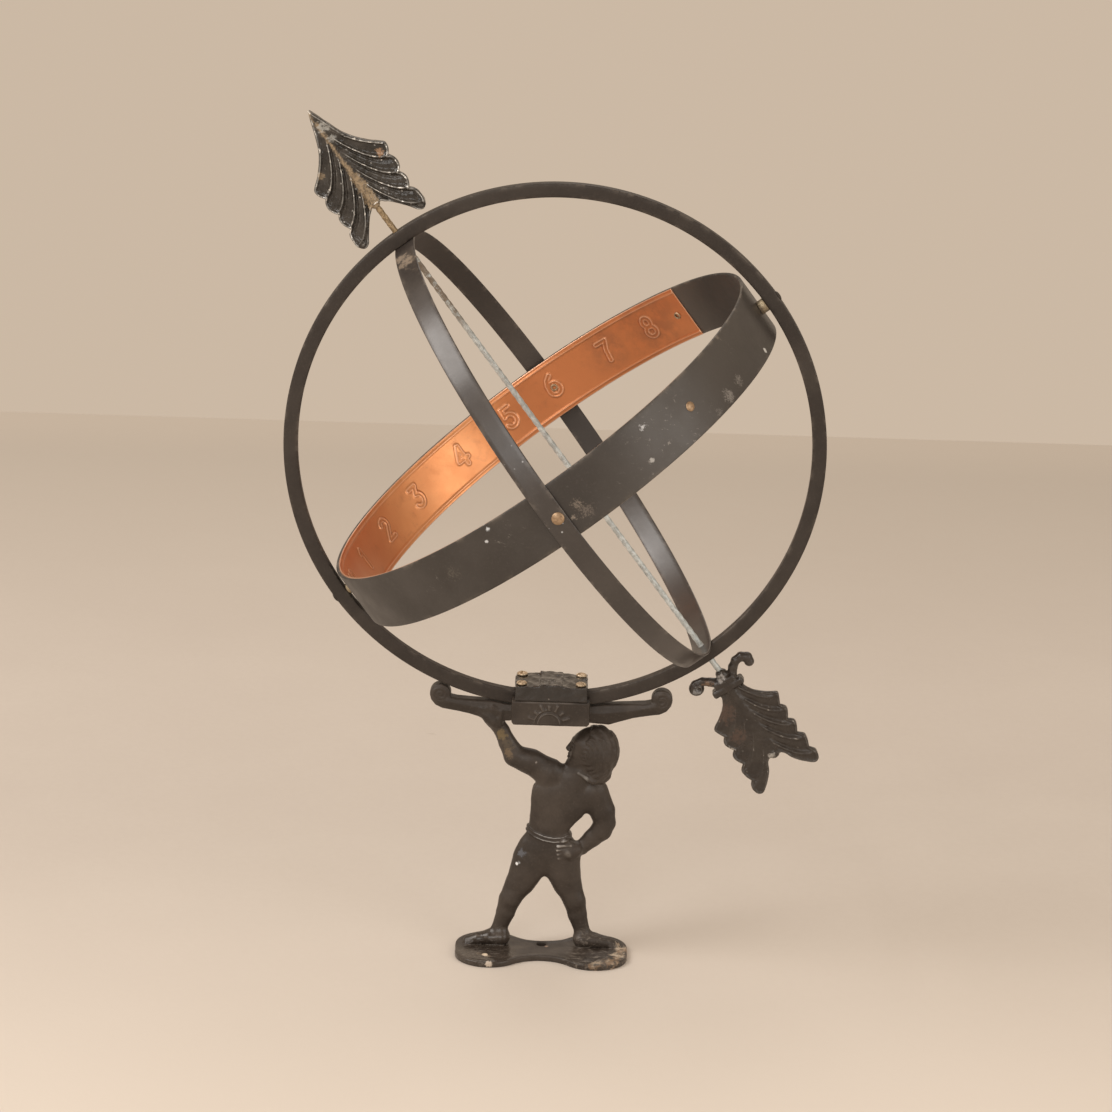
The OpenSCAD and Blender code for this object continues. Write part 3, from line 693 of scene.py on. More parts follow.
def build_colure_ring():
    """An oval strip through both poles; its two halves sit a little differently askew about the rod."""
    pts, radial, axial = [], [], []
    for turn, shift, r in ((0, 1, POLE_R - OVAL_SHIFT), (90, -1, SIDE_R + OVAL_SHIFT),
                           (180, 1, POLE_R - OVAL_SHIFT), (270, -1, SIDE_R + OVAL_SHIFT)):
        middle = math.radians(turn)
        for i in range(90):
            a = math.radians(turn - 45 + i)
            y = shift * OVAL_SHIFT * math.sin(middle) + r * math.sin(a)
            z = shift * OVAL_SHIFT * math.cos(middle) + r * math.cos(a)
            rear = 0.5 + 0.5 * math.tanh(y / 12)
            skew = COLURE_SKEW[0] * (1 - rear) + COLURE_SKEW[1] * rear
            pts.append((-y * math.sin(skew), y * math.cos(skew), z))
            radial.append((-math.sin(a) * math.sin(skew), math.sin(a) * math.cos(skew), math.cos(a)))
            axial.append((math.cos(skew), math.sin(skew), 0))
    outline = split_flats(rounded_box(COLURE_T, COLURE_W, 0.45, 2), 3.0)
    points, faces = sweep(np.array(pts), np.array(radial), np.array(axial), outline)
    return fuse(make("colure_ring_strip", points, faces, "sphere", "colure_ring", "strip_paint", strip_paint(),
                     POLAR))


def build_band():
    path, radial, axial = circle_path(BAND_R - BAND_T / 2)
    outline = split_flats(rounded_box(BAND_T, BAND_W, 0.6, 3), 2.5)
    points, faces = sweep(path, radial, axial, outline)
    return fuse(make("equator_band_strip", points, faces, "sphere", "equator_band", "band_paint", band_paint(),
                     POLAR))


def arc_points(cx, cy, rx, ry, start, end, n=14):
    return [(cx + rx * math.cos(math.radians(start + (end - start) * i / n)),
             cy + ry * math.sin(math.radians(start + (end - start) * i / n))) for i in range(n + 1)]


# Strokes of each numeral in a cell 1 wide and 1.6 high.
NUMERALS = {
    "0": [arc_points(0.5, 0.8, 0.42, 0.74, 0, 360, 24)],
    "1": [[(0.5, 0.05), (0.5, 1.55), (0.22, 1.25)]],
    "2": [arc_points(0.5, 1.14, 0.38, 0.4, 165, -30) + [(0.12, 0.06), (0.9, 0.06)]],
    "3": [[(0.14, 1.54), (0.82, 1.54), (0.46, 0.98)] + arc_points(0.46, 0.52, 0.42, 0.46, 90, -150)],
    "4": [[(0.66, 0.05), (0.66, 1.54), (0.1, 0.5), (0.94, 0.5)]],
    "5": [[(0.82, 1.54), (0.24, 1.54), (0.2, 0.92)] + arc_points(0.46, 0.54, 0.42, 0.48, 125, -150)],
    "6": [arc_points(0.5, 0.5, 0.4, 0.45, 0, 360, 20), [(0.1, 0.55), (0.14, 0.95), (0.32, 1.3), (0.66, 1.55)]],
    "7": [[(0.1, 1.54), (0.88, 1.54), (0.56, 0.9), (0.42, 0.05)]],
    "8": [arc_points(0.5, 1.16, 0.33, 0.38, 0, 360, 20), arc_points(0.5, 0.42, 0.4, 0.4, 0, 360, 20)],
}
DIGIT_W = 9.2             # width of a numeral's cell
STROKE = 1.5              # half width of its stroke
DIGIT_LIFT = 1.7          # numerals sit this far north of the strip's middle
PUNCH_SLIP = {1: 1.0, 2: 0.8, 4: 1.3, 5: 1.8, 7: 1.2}     # degrees each numeral sits past its hour
HOURS = [(h, 15.0 * h + PUNCH_SLIP.get(h, 0.0)) for h in range(1, 9)]
HOURS += [(12, 0.0)] + [(h, -15.0 * (12 - h)) for h in range(4, 12)]


def numeral_relief(u, v):
    """Height of the embossed numerals at u mm along the strip from noon and v mm across it."""
    height = np.zeros(np.broadcast(u, v).shape)
    r = STRIP_R - STRIP_T
    for hour, degrees in HOURS:
        text, centre = str(hour), math.radians(degrees) * r
        width = DIGIT_W * len(text)
        near = np.abs(u - centre) < width / 2 + 5
        cols = np.flatnonzero(near.any(axis=1)) if near.ndim == 2 else None
        if cols is None or not len(cols):
            continue
        sl = slice(cols[0], cols[-1] + 1)
        best = 1e9
        for k, c in enumerate(text):
            x = (u[sl] - centre + width / 2 - k * DIGIT_W) / DIGIT_W
            y = (v - DIGIT_LIFT) / DIGIT_W + 0.8
            x, y = x + 0 * y, y + 0 * x
            for stroke in NUMERALS["6" if c == "9" else c]:
                if c == "9":
                    stroke = [(1 - a, 1.6 - b) for a, b in stroke]
                best = np.minimum(best, line_field(stroke, x, y) * DIGIT_W)
        crest = 0.8 * swell(best, STROKE - 0.3, 0.55)
        flat = 0.35 * step(STROKE - best, 0, 1.0)
        height[sl] = np.maximum(height[sl], np.maximum(crest, flat))
    return height


def build_hour_strip():
    r_in = STRIP_R - STRIP_T
    length = math.radians(2 * STRIP_REACH) * r_in
    nu, nv = int(length / 0.55), 68
    u = np.linspace(-length / 2, length / 2, nu)
    v = np.linspace(-STRIP_W / 2, STRIP_W / 2, nv)
    U, V = u[:, None], v[None, :]
    lift = numeral_relief(U, V)
    edge = STRIP_W / 2 - np.abs(V)
    lift = np.maximum(lift, 0.5 * swell(edge, 2.6, 0.75) + 0 * U)
    lift = lift + 0.12 * ripple((U, V, 0), 40, 61) + 0.03 * ripple((U, V, 0), 9, 62)
    lift = np.clip(lift, 0.0, None) * step(edge, 0.0, 0.8)
    angle = math.pi - math.radians(STRIP_TURN) - U / r_in + 0 * V
    r = r_in - lift
    inner = np.stack([r * np.cos(angle), r * np.sin(angle), V + 0 * U], 2).reshape(-1, 3)
    outer = np.stack([STRIP_R * np.cos(angle), STRIP_R * np.sin(angle), V + 0 * U], 2)
    outer = outer[:, [0, -1]].reshape(-1, 3)
    i, j = np.meshgrid(np.arange(nu - 1), np.arange(nv - 1), indexing="ij")
    a = (i * nv + j).ravel()
    faces = np.stack([a, a + 1, a + nv + 1, a + nv], 1).tolist()
    base = nu * nv
    for k in range(nu - 1):
        o = base + 2 * k
        faces.append((o, o + 2, o + 3, o + 1))
        faces.append((k * nv, (k + 1) * nv, o + 2, o))
        faces.append(((k + 1) * nv + nv - 1, k * nv + nv - 1, o + 1, o + 3))
    faces.append(tuple(range(nv)) + (base + 1, base))
    last = (nu - 1) * nv
    faces.append(tuple(range(last, last + nv))[::-1] + (base + 2 * (nu - 1), base + 2 * (nu - 1) + 1))
    points = np.concatenate([inner, outer])
    return fuse(make("hour_strip_sheet", points, faces, "sphere", "hour_strip", "copper", copper(), POLAR))


# ------------------------------------------------------------------ rod, rivets, screws, spacers

def build_rod():
    shoulder = POLE_R - COLURE_T / 2 - 0.6
    base = rounded_box(ROD_SIDE, ROD_SIDE, 1.0, 3)
    zs = [(-ROD_HALF, ROD_END_R - 0.5), (-ROD_HALF + 0.5, ROD_END_R)]
    zs += [(z, ROD_END_R) for z in np.linspace(-ROD_HALF + 2, -shoulder - 0.5, 8)]
    zs += [(z, None) for z in np.arange(-shoulder, shoulder + 0.01, 0.9)]
    zs += [(z, ROD_END_R) for z in np.linspace(shoulder + 0.5, ROD_HALF - 2, 8)]
    zs += [(ROD_HALF - 0.5, ROD_END_R), (ROD_HALF, ROD_END_R - 0.5)]
    m, pts = len(base), []
    for z, r in zs:
        turn = 2 * math.pi * z / ROD_PITCH + 0.15 * math.sin(z / 31)
        o = base / np.linalg.norm(base, axis=1, keepdims=True) * r if r else base
        c, s = math.cos(turn), math.sin(turn)
        pts += [(c * x - s * y, s * x + c * y, z) for x, y in o]
    faces = [(i * m + k, i * m + (k + 1) % m, (i + 1) * m + (k + 1) % m, (i + 1) * m + k)
             for i in range(len(zs) - 1) for k in range(m)]
    faces += [tuple(range(m))[::-1], tuple(range((len(zs) - 1) * m, len(zs) * m))]
    return fuse(make("gnomon_rod_bar", pts, faces, "arrow", "gnomon_rod", "rod_zinc", rod_zinc(), POLAR))


def dome_profile(r, h, up=1):
    """From the rim to the top of a rivet's head that is a little flattened."""
    out = [(r - 0.15, 0.0), (r, 0.12 * h)]
    out += [(r * math.cos(a), h * math.sin(a)) for a in np.radians([18, 36, 54, 72])]
    return [(x, up * z) for x, z in out + [(0.0, h * 0.98)]]


def build_rivet(name, degrees, drop, from_r, to_r, head_in, head_out, slot_name, material):
    """A rivet with domed heads; without a height the inner head is an open eye."""
    seat = math.sqrt(from_r**2 - RIVET_HEAD_R**2) - 0.01
    if head_in[1]:
        inner = [(x, seat + z) for x, z in dome_profile(*head_in, up=-1)][::-1]
    else:
        r = head_in[0]
        inner = [(0, seat + 0.5), (1.0, seat + 0.4), (1.15, seat - 0.5), (1.35, seat - 0.85),
                 (1.7, seat - 0.95), (r - 0.4, seat - 0.7), (r - 0.1, seat - 0.35), (r, seat)]
    outer = [(x, to_r + z) for x, z in dome_profile(*head_out)]
    points, faces = lathe(inner + [(RIVET_R, seat), (RIVET_R, to_r)] + outer)
    place = at_hour(degrees) @ Matrix.Translation((0, 0, -drop * MM)) @ Matrix.Rotation(math.pi / 2, 4, "Y")
    return fuse(make(name + "_head", points, faces, "sphere", name, slot_name, material, place))


def build_rivets():
    brass, worn = ("rivet_brass", rivet_brass()), ("painted_rivet", painted_rivet())
    strip_in, side_out = STRIP_R - STRIP_T, SIDE_R + COLURE_T / 2
    # Hour angle, drop, radii from and to, and each head's radius and height, inside and outside.
    for name, degrees, drop, a, b, head_in, head_out, look in (
            ("noon_rivet", 0, 0, strip_in, RING_R, (2.6, 0.9), (RIVET_HEAD_R, 1.2), worn),
            ("midnight_rivet", 180, 0, STRIP_R, RING_R, (2.8, 0.9), (RIVET_HEAD_R, 1.2), worn),
            ("morning_rivet", CROSSINGS[0], MORNING_DROP, strip_in, side_out, (2.6, 0.9), (4.0, 1.3), brass),
            ("evening_rivet", CROSSINGS[1], 0, strip_in, side_out, (2.7, 0), (RIVET_HEAD_R, 1.2), brass),
            ("strip_rivet_morning", STRIP_RIVETS[0], 0, strip_in, BAND_R, (2.6, 0), (3.1, 1.1), brass),
            ("strip_rivet_evening", STRIP_RIVETS[1], 0, strip_in, BAND_R, (2.6, 0), (3.1, 1.1), brass)):
        build_rivet(name, degrees, drop, a, b, head_in, head_out, *look)


def build_spacers():
    mat = dull_brass()
    for name, degrees, r in (("noon_spacer", 0, 3.6), ("midnight_spacer", 180, 4.5)):
        h = math.sqrt(RING_IN_R**2 - r**2) - BAND_R
        profile = [(BORE_R, 0), (r - 0.4, 0), (r - 0.15, 0.2), (r, 0.6), (r - 0.08, h / 2), (r, h - 0.6),
                   (r - 0.15, h - 0.2), (r - 0.4, h), (BORE_R, h), (BORE_R, 0)]
        outwards = Matrix.Rotation(math.pi / 2, 4, "Y") @ Matrix.Translation((0, 0, BAND_R * MM))
        place = at_hour(degrees) @ outwards
        fuse(make(name + "_tube", *lathe(profile), "sphere", name, "dull_brass", mat, place))


def build_screws():
    mat = screw_brass()
    turns = {"front_left": 24, "front_right": -38, "back_left": 71, "back_right": 8}
    for i, (name, turn) in enumerate(turns.items()):
        x = YOKE_X + (-SCREW_X if "left" in name else SCREW_X)
        y = -SCREW_Y if "front" in name else SCREW_Y
        clay = Clay((-4.2, -4.2, -22), (4.2, 4.2, 3), 0.16)

        def head(p):
            r = np.sqrt(p[0]**2 + p[1]**2)
            top = 2.1 - 0.075 * r**2 * (1 + 0.25 * (r / 3.4)**2)
            return np.maximum(r - 3.35 + 0.25 * step(p[2], 0.6, 1.6), np.maximum(p[2] - top, -p[2]))

        def thread(p):
            r = np.sqrt(p[0]**2 + p[1]**2) - 1.95 + 0.15 * np.sin(2 * math.pi * p[2] / 0.9)
            return np.maximum(r, np.maximum(p[2] - 0.5, -21 - p[2]))

        clay.add((-3.5, -3.5, 0), (3.5, 3.5, 2.3), head, 0.15)
        clay.cut((-4, -0.6, 1.0), (4, 0.6, 3),
                 lambda p: np.maximum(np.abs(p[1]) - 0.5, 1.05 - p[2]) + 0 * p[0], 0.15)
        clay.add((-2, -2, -21), (2, 2, 0.5), thread)
        s, p = clay.window((-4.2, -4.2, 0), (4.2, 4.2, 3))
        clay.field[s] += (0.05 * ripple(p, 1.6, 70 + i)).astype(np.float32)
        place = Matrix.Translation((x * MM, y * MM, CAP_TOP * MM)) @ Matrix.Rotation(math.radians(turn), 4, "Z")
        make("cap_screw_slotted_" + name, *clay.mesh(), "stand", "cap_screw_" + name, "screw_brass", mat, place)


# ------------------------------------------------------------------ materials

def shade(tone, amount):
    return tuple(c * amount for c in tone)


class Look:
    """A node material on one Principled shader: a running colour and textures at real scale."""

    def __init__(self, name):
        self.material = bpy.data.materials.new(name)
        self.material.use_nodes = True
        self.tree = self.material.node_tree
        self.tree.nodes.clear()
        self.shader = self.node("BsdfPrincipled")
        self.node("OutputMaterial", {0: self.shader.outputs[0]})
        self.place = self.node("TexCoord").outputs["Object"]
        self.color = (0.5, 0.5, 0.5)

    def set(self, socket, value):
        if isinstance(value, bpy.types.NodeSocket):
            self.tree.links.new(value, socket)
        else:
            socket.default_value = (*value, 1) if socket.type == "RGBA" else value

    def node(self, kind, inputs=None, **settings):
        """A new node with its settings, and values or links for its inputs by name or number."""
        n = self.tree.nodes.new("ShaderNode" + kind)
        for key, value in settings.items():
            setattr(n, key, value)
        for key, value in (inputs or {}).items():
            self.set(n.inputs[key], value)
        return n

    def math(self, kind, a, b=0.5):
        return self.node("Math", {0: a, 1: b}, operation=kind).outputs[0]

    def times(self, a, b):
        return self.math("MULTIPLY", a, b)

    def mix(self, fac, a, b):
        return self.node("Mix", {"Factor": fac, 6: a, 7: b}, data_type="RGBA").outputs[2]

    def ramp(self, value, lo, hi, a=0.0, b=1.0):
        """Maps lo..hi smoothly to a..b."""
        inputs = {"Value": value, "From Min": lo, "From Max": hi, "To Min": a, "To Max": b}
        return self.node("MapRange", inputs, interpolation_type="SMOOTHSTEP").outputs[0]

    def noise(self, size, detail, rough, seed, stretch=(1, 1, 1), warp=0.0):
        """Noise of features about size mm, 0 to 1."""
        place = self.node("Mapping", {"Vector": self.place, "Scale": stretch}).outputs[0]
        inputs = {"Vector": place, "Scale": 1000.0 / size, "Detail": detail, "Roughness": rough,
                  "Distortion": warp, "W": seed}
        return self.node("TexNoise", inputs, noise_dimensions="4D").outputs["Fac"]

    def cloud(self, size, detail, rough, seed, lo, hi, a=0.0, b=1.0, **more):
        """Noise with its range lo..hi mapped smoothly to a..b."""
        return self.ramp(self.noise(size, detail, rough, seed, **more), lo, hi, a, b)

    def wander(self, size, detail, seed, a=0.0, b=1.0):
        """A value that wanders between a and b over about size mm."""
        return self.cloud(size, detail, 0.6, seed, 0.3, 0.7, a, b)

    def cells(self, size, seed, lo, hi):
        """Ramp of the distance from scattered points about size mm apart, in cells."""
        inputs = {"Vector": self.place, "Scale": 1000.0 / size, "W": seed}
        n = self.node("TexVoronoi", inputs, voronoi_dimensions="4D")
        return self.ramp(n.outputs["Distance"], lo, hi)

    def away(self, at):
        """Metres from a point in mm."""
        return self.node("VectorMath", {0: self.place, 1: shade(at, MM)}, operation="DISTANCE").outputs["Value"]

    def along(self, axis, vector=None):
        """Metres along an axis of the row frame, or another vector's part along it."""
        inputs = {0: vector or self.place, 1: axis}
        return self.node("VectorMath", inputs, operation="DOT_PRODUCT").outputs["Value"]

    def spot(self, at, radius, soft=0.6, ragged=0.5, seed=1.0, size=4.0):
        """1 inside a ragged blot round a point in mm, 0 outside."""
        uneven = self.math("SUBTRACT", self.noise(size, 3, 0.6, seed), 0.5)
        far = self.math("ADD", self.away(at), self.times(uneven, ragged * 2 * radius * MM))
        return self.ramp(far, radius * MM * (1 + soft), radius * MM * (1 - soft))

    def flaked(self, at, radius, seed, size=2.0, reach=0.27):
        """Scattered flakes round a point in mm: dense in its middle, a few at its rim."""
        near = self.ramp(self.away(at), radius * 1.7 * MM, 0.2 * radius * MM, 0.0, reach)
        flakes = self.ramp(self.math("ADD", self.noise(size, 5, 0.75, seed), near), 0.62, 0.76)
        return self.times(flakes, self.ramp(near, 0.0, 0.08))

    def edges(self, lo, hi):
        """Ramp of how sharp an edge is: over 0.5 on convex ones, below in grooves."""
        return self.ramp(self.node("NewGeometry").outputs["Pointiness"], lo, hi)

    def tint(self, mask, amount, color):
        """Lays a colour over the running one."""
        self.color = self.mix(self.times(mask, amount), self.color, color)

    def wear(self, edges, cloud, amount, color):
        """A colour on the edges, where a cloud lets it through."""
        self.tint(self.times(self.edges(*edges), self.cloud(*cloud)), amount, color)

    def specks(self, size, keep, color, seed, radius):
        """A few pale paint specks; keep is how rare they are."""
        dots = self.cells(size, seed, radius, radius * 0.7)
        self.tint(self.times(dots, self.cloud(size * 4, 2, 0.5, seed + 9, keep, keep + 0.06)), 1.0, color)

    def finish(self, rough, bumps, metallic=0.0, coat=0.0, coat_rough=0.2, specular=0.5):
        """Sets the shader; bumps are (size, detail, roughness, seed, depth in mm)."""
        inputs = {"Base Color": self.color, "Roughness": rough, "Metallic": metallic,
                  "Specular IOR Level": specular}
        if coat:
            inputs.update({"Coat Weight": coat, "Coat Roughness": coat_rough})
        for *shape, depth in bumps:
            bump = {"Strength": 1.0, "Distance": depth * MM, "Height": self.noise(*shape)}
            if "Normal" in inputs:
                bump["Normal"] = inputs["Normal"]
            inputs["Normal"] = self.node("Bump", bump).outputs[0]
        for key, value in inputs.items():
            self.set(self.shader.inputs[key], value)
        return self.material


def painted(name, dark, pale, size, seed):
    """Weathered brown-black paint: broad clouds and a fine dusting."""
    k = Look(name)
    k.color = k.mix(k.cloud(size, 4, 0.6, seed, 0.35, 0.7), dark, pale)
    k.tint(k.cloud(1.6, 3, 0.6, seed + 5, 0.5, 0.75, 0, 0.35), 1.0, shade(pale, 1.5))
    return k


CASTING_MARKS = (
    # Place, radius, amount and tint: bare wrist and forearm, hip, belly, hair, and the plate's left lobe.
    ((-29, -5, 146.5), 4.0, 0.8, (0.17, 0.125, 0.06)), ((-25, -5, 140), 5.0, 0.5, (0.11, 0.085, 0.055)),
    ((-24.2, -5, 133.8), 3.6, 0.65, (0.17, 0.12, 0.07)), ((-14.3, -7, 68.3), 3.6, 0.9, (0.10, 0.105, 0.12)),
    ((-16.9, -6, 60.3), 1.1, 0.95, (0.80, 0.82, 0.84)), ((-15.2, -6, 61.5), 1.0, 0.6, (0.40, 0.42, 0.44)),
    ((5.6, -9, 113), 0.8, 0.8, (0.5, 0.45, 0.42)), ((-6.6, -6, 129.3), 0.8, 0.45, (0.4, 0.36, 0.33)),
    ((-19, -6, 28), 0.8, 0.8, (0.5, 0.45, 0.42)), ((-35.6, -22.7, 4), 1.8, 0.95, (0.66, 0.54, 0.40)),
    ((-33.6, -24.6, 4), 2.6, 0.6, (0.22, 0.17, 0.12)), ((-32.8, -35, 2.5), 2.0, 0.9, (0.56, 0.48, 0.40)),
    ((-39, -20, 4), 2.4, 0.4, (0.20, 0.16, 0.12)), ((3.4, -3.4, 4), 1.3, 0.8, (0.32, 0.22, 0.16)))
BARE_RIM = (((53, -6, 3.5), 6.5, 0.85), ((49.5, -17, 3.5), 6, 0.85),
            ((45, -27, 3), 6.5, 0.8), ((35, -33, 3), 5.5, 0.6))
RELIEF_HIGHLIGHTS_AND_WEAR = (
    # Range of edges, place, radius, softness, raggedness, amount and tint of painted highlights on the relief's
    # edges, partly rubbed paint too: half sun, fingertips, belt and nape.
    ((0.503, 0.53), (1, -15.5, 171), 15, 0.2, 0.1, 0.4, (0.14, 0.122, 0.105)),
    ((0.505, 0.54), (12.5, -8, 69.5), 7.5, 0.2, 0.1, 0.8, (0.30, 0.27, 0.24)),
    ((0.505, 0.54), (4, -7, 80), 9, 0.35, 0.1, 0.8, (0.42, 0.42, 0.42)),
    ((0.505, 0.55), (22.6, -9, 120.3), 4.5, 0.4, 0.3, 0.9, (0.62, 0.62, 0.60)))


def cast_paint():
    k = painted("cast_paint", (0.026, 0.0190, 0.0142), (0.056, 0.0440, 0.0355), 24, 1.0)
    k.wear((0.53, 0.60), (7, 3, 0.6, 4.0, 0.42, 0.62), 0.5, (0.16, 0.13, 0.10))
    # Long light streaks on the plate's lobes, and a right rim that is bare down to cream and brown.
    streaks = k.cloud(2.2, 5, 0.75, 8.0, 0.50, 0.62, stretch=(0.45, 1.3, 1), warp=0.8)
    for at, r, seed, amount, color in (((34, -19, 4), 18, 6.0, 0.65, (0.27, 0.235, 0.20)),
                                       ((-38, -17, 4), 17, 7.0, 0.5, (0.19, 0.165, 0.145))):
        k.tint(k.times(k.spot(at, r, 0.5, 0.6, seed, 6), streaks), amount, color)
    bare = k.mix(k.cloud(7, 3, 0.6, 9.0, 0.42, 0.58), (0.56, 0.47, 0.36), (0.24, 0.155, 0.09))
    for at, r, amount in BARE_RIM:
        k.tint(k.flaked(at, r, r + 8.5, 3.6), amount, bare)
    # Painted highlights on the edges of the half sun, fingertips, belt and nape, with some rubbed paint.
    for edges, at, r, soft, ragged, amount, color in RELIEF_HIGHLIGHTS_AND_WEAR:
        k.tint(k.times(k.edges(*edges), k.spot(at, r, soft, ragged, 1.0, 5)), amount, color)
    # Dust in the corners round the feet.
    soles = k.times(k.edges(0.47, 0.41), k.spot((0, -6, 4), 52, 0.05, 0.0, 1.0, 5))
    k.tint(k.times(soles, k.cloud(6, 3, 0.6, 3.3, 0.40, 0.55)), 0.5, (0.20, 0.17, 0.14))
    for at, r, amount, color in CASTING_MARKS:
        mark = k.flaked(at, r, r + 2.0, 2.4) if r > 2.5 else k.spot(at, r, 0.25, 1.0, r + 2.0, 1.6)
        k.tint(mark, amount, color)
    k.specks(7, 0.64, (0.35, 0.30, 0.25), 3.0, 0.09)
    glossy = k.times(k.spot((-36, -18, 4), 20, 0.4, 0.3, 5.0, 8), 0.26)
    rough = k.math("SUBTRACT", k.wander(12, 4, 7.0, 0.38, 0.54), glossy)
    return k.finish(rough, ((3.0, 3, 0.55, 9.0, 0.09), (0.7, 2, 0.5, 11.0, 0.02)), specular=0.42)


def cap_paint():
    k = painted("cap_paint", (0.014, 0.0105, 0.0085), (0.024, 0.0185, 0.015), 9, 2.0)
    top = k.ramp(k.along((0, 0, 1), k.node("NewGeometry").outputs["Normal"]), 0.25, 0.75)
    # Painted highlights: pale grey mottling on the top faces round the hump.
    k.tint(k.times(top, k.flaked((2, -6, 186), 12, 12.0, 1.6, 0.14)), 0.45, (0.30, 0.29, 0.29))
    k.wear((0.53, 0.60), (4, 3, 0.6, 14.0, 0.45, 0.6), 0.6, (0.26, 0.23, 0.20))
    return k.finish(k.ramp(top, 0, 1, 0.40, 0.10), ((4.5, 2, 0.4, 9.5, 0.7), (1.2, 2, 0.5, 3.0, 0.02)),
                    specular=0.6)


def ring_paint():
    k = painted("ring_paint", (0.025, 0.0185, 0.0145), (0.040, 0.0315, 0.0255), 35, 3.0)
    k.wear((0.50, 0.56), (9, 4, 0.65, 24.0, 0.5, 0.64), 0.5, (0.20, 0.17, 0.14))
    k.specks(9, 0.66, (0.5, 0.47, 0.44), 13.0, 0.08)
    return k.finish(k.wander(18, 4, 17.0, 0.42, 0.58), ((6, 3, 0.5, 19.0, 0.15), (1.2, 3, 0.55, 20.0, 0.05)),
                    specular=0.4)


def strip_paint():
    k = painted("strip_paint", (0.027, 0.0205, 0.0175), (0.043, 0.0345, 0.030), 30, 4.0)
    # A beige rubbed patch under the upper pole, painted shade on the rear half with rougher paint there, and
    # pale flecks by crossing and lower pole.
    for at, r, amount in (((-97, -25, 459), 6, 0.7), ((-91.5, -35, 460), 8, 0.7), ((-86.5, -48, 457), 5, 0.6)):
        k.tint(k.flaked(at, r, 20.0 + r, 4.0), amount, (0.30, 0.235, 0.175))
    rear = k.math("MAXIMUM", k.spot((-55, 75, 425), 75, 0.35, 0.1, 3.0, 40),
                  k.spot((12, 155, 316), 42, 0.3, 0.1, 3.0, 40))
    k.tint(rear, 0.75, (0.017, 0.012, 0.009))
    flecks = k.cells(3.4, 31.0, 0.24, 0.15)
    for at, r in (((-21, -148, 372), 8), ((51, -112, 250), 6), ((8, -157, 335), 9)):
        k.tint(k.times(flecks, k.spot(at, r, 0.4, 0.4, r, 4)), 0.8, (0.52, 0.54, 0.56))
    k.wear((0.50, 0.56), (8, 4, 0.65, 23.0, 0.5, 0.64), 0.5, (0.22, 0.19, 0.16))
    k.specks(6, 0.60, (0.55, 0.55, 0.57), 23.0, 0.10)
    rough = k.math("ADD", k.wander(20, 4, 27.0, 0.29, 0.37), k.times(rear, 0.38))
    return k.finish(rough, ((11, 3, 0.5, 29.0, 0.10), (1.0, 3, 0.55, 30.0, 0.02)), specular=0.78)


BAND_MARKS = (
    # Place, radius, amount and tint, from the midnight end past the morning rivet to the noon end.
    ((127.6, -45, 415), 1.6, 0.9, (0.60, 0.60, 0.58)), ((124, -62, 420), 1.6, 0.6, (0.40, 0.39, 0.38)),
    ((112, -86, 407), 4.5, 0.6, (0.24, 0.22, 0.20)), ((105, -97, 399), 5.0, 0.7, (0.26, 0.24, 0.22)),
    ((98, -106, 391), 3.5, 0.5, (0.22, 0.20, 0.18)), ((53, -137, 389), 2.2, 0.95, (0.55, 0.56, 0.58)),
    ((56, -137, 391), 2.0, 0.6, (0.40, 0.40, 0.40)), ((60, -141, 370), 1.6, 0.8, (0.45, 0.44, 0.42)),
    ((16, -155, 345), 4.0, 0.45, (0.30, 0.25, 0.20)), ((22, -154, 341), 5.0, 0.40, (0.24, 0.20, 0.17)),
    ((14, -156, 337), 2.0, 0.6, (0.36, 0.30, 0.24)), ((-60, -143, 293), 7, 0.35, (0.17, 0.15, 0.12)),
    ((-37, -151, 327), 1.4, 0.9, (0.62, 0.66, 0.70)), ((-39, -150, 329), 1.2, 0.7, (0.5, 0.54, 0.58)),
    ((-38, -151, 319), 1.1, 0.9, (0.60, 0.62, 0.64)), ((-23, -154, 306), 1.2, 0.95, (0.70, 0.72, 0.74)),
    ((-52, -147, 304), 0.9, 0.8, (0.45, 0.46, 0.48)))


def band_paint():
    k = painted("band_paint", (0.026, 0.0205, 0.0165), (0.042, 0.0355, 0.031), 42, 5.0)
    # Painted sheen: a lighter tone across the band between about 15 and 125 mm along x.
    x = k.along((1, 0, 0))
    k.tint(k.times(k.ramp(x, 0.015, 0.065), k.ramp(x, 0.125, 0.090)), 0.7, (0.066, 0.057, 0.049))
    # Scuffs past the morning rivet, a few larger pale marks, and painted shade on the inside at the midnight
    # end.
    scratch = k.cloud(2.4, 5, 0.75, 33.0, 0.58, 0.68, stretch=(0.35, 1, 1), warp=0.4)
    worn = k.math("ADD", k.cloud(26, 3, 0.6, 36.0, 0.56, 0.70, 0.0, 0.6),
                  k.spot((76, -132, 376), 30, 0.6, 0.5, 3.0, 12))
    k.tint(k.times(scratch, worn), 0.8, (0.25, 0.23, 0.21))
    for at, r, amount, color in BAND_MARKS:
        mark = k.flaked(at, r, r + 1.0, 1.3, 0.22) if r > 1.8 else k.spot(at, r, 0.3, 1.0, r, 1.5)
        k.tint(mark, amount, color)
    # Painted shade inside the band at the midnight end, with rougher paint there.
    hollow = k.spot((111, 65, 419), 48, 0.4, 0.1, 3.0, 30)
    k.tint(hollow, 0.85, (0.013, 0.009, 0.007))
    k.specks(8, 0.58, (0.58, 0.60, 0.63), 33.0, 0.11)
    k.wear((0.50, 0.56), (10, 4, 0.65, 37.0, 0.48, 0.62), 0.6, (0.24, 0.20, 0.16))
    rough = k.math("ADD", k.wander(24, 4, 34.0, 0.38, 0.50), k.times(hollow, 0.2))
    return k.finish(rough, ((16, 3, 0.5, 39.0, 0.2), (1.1, 3, 0.55, 40.0, 0.03)), specular=0.6)


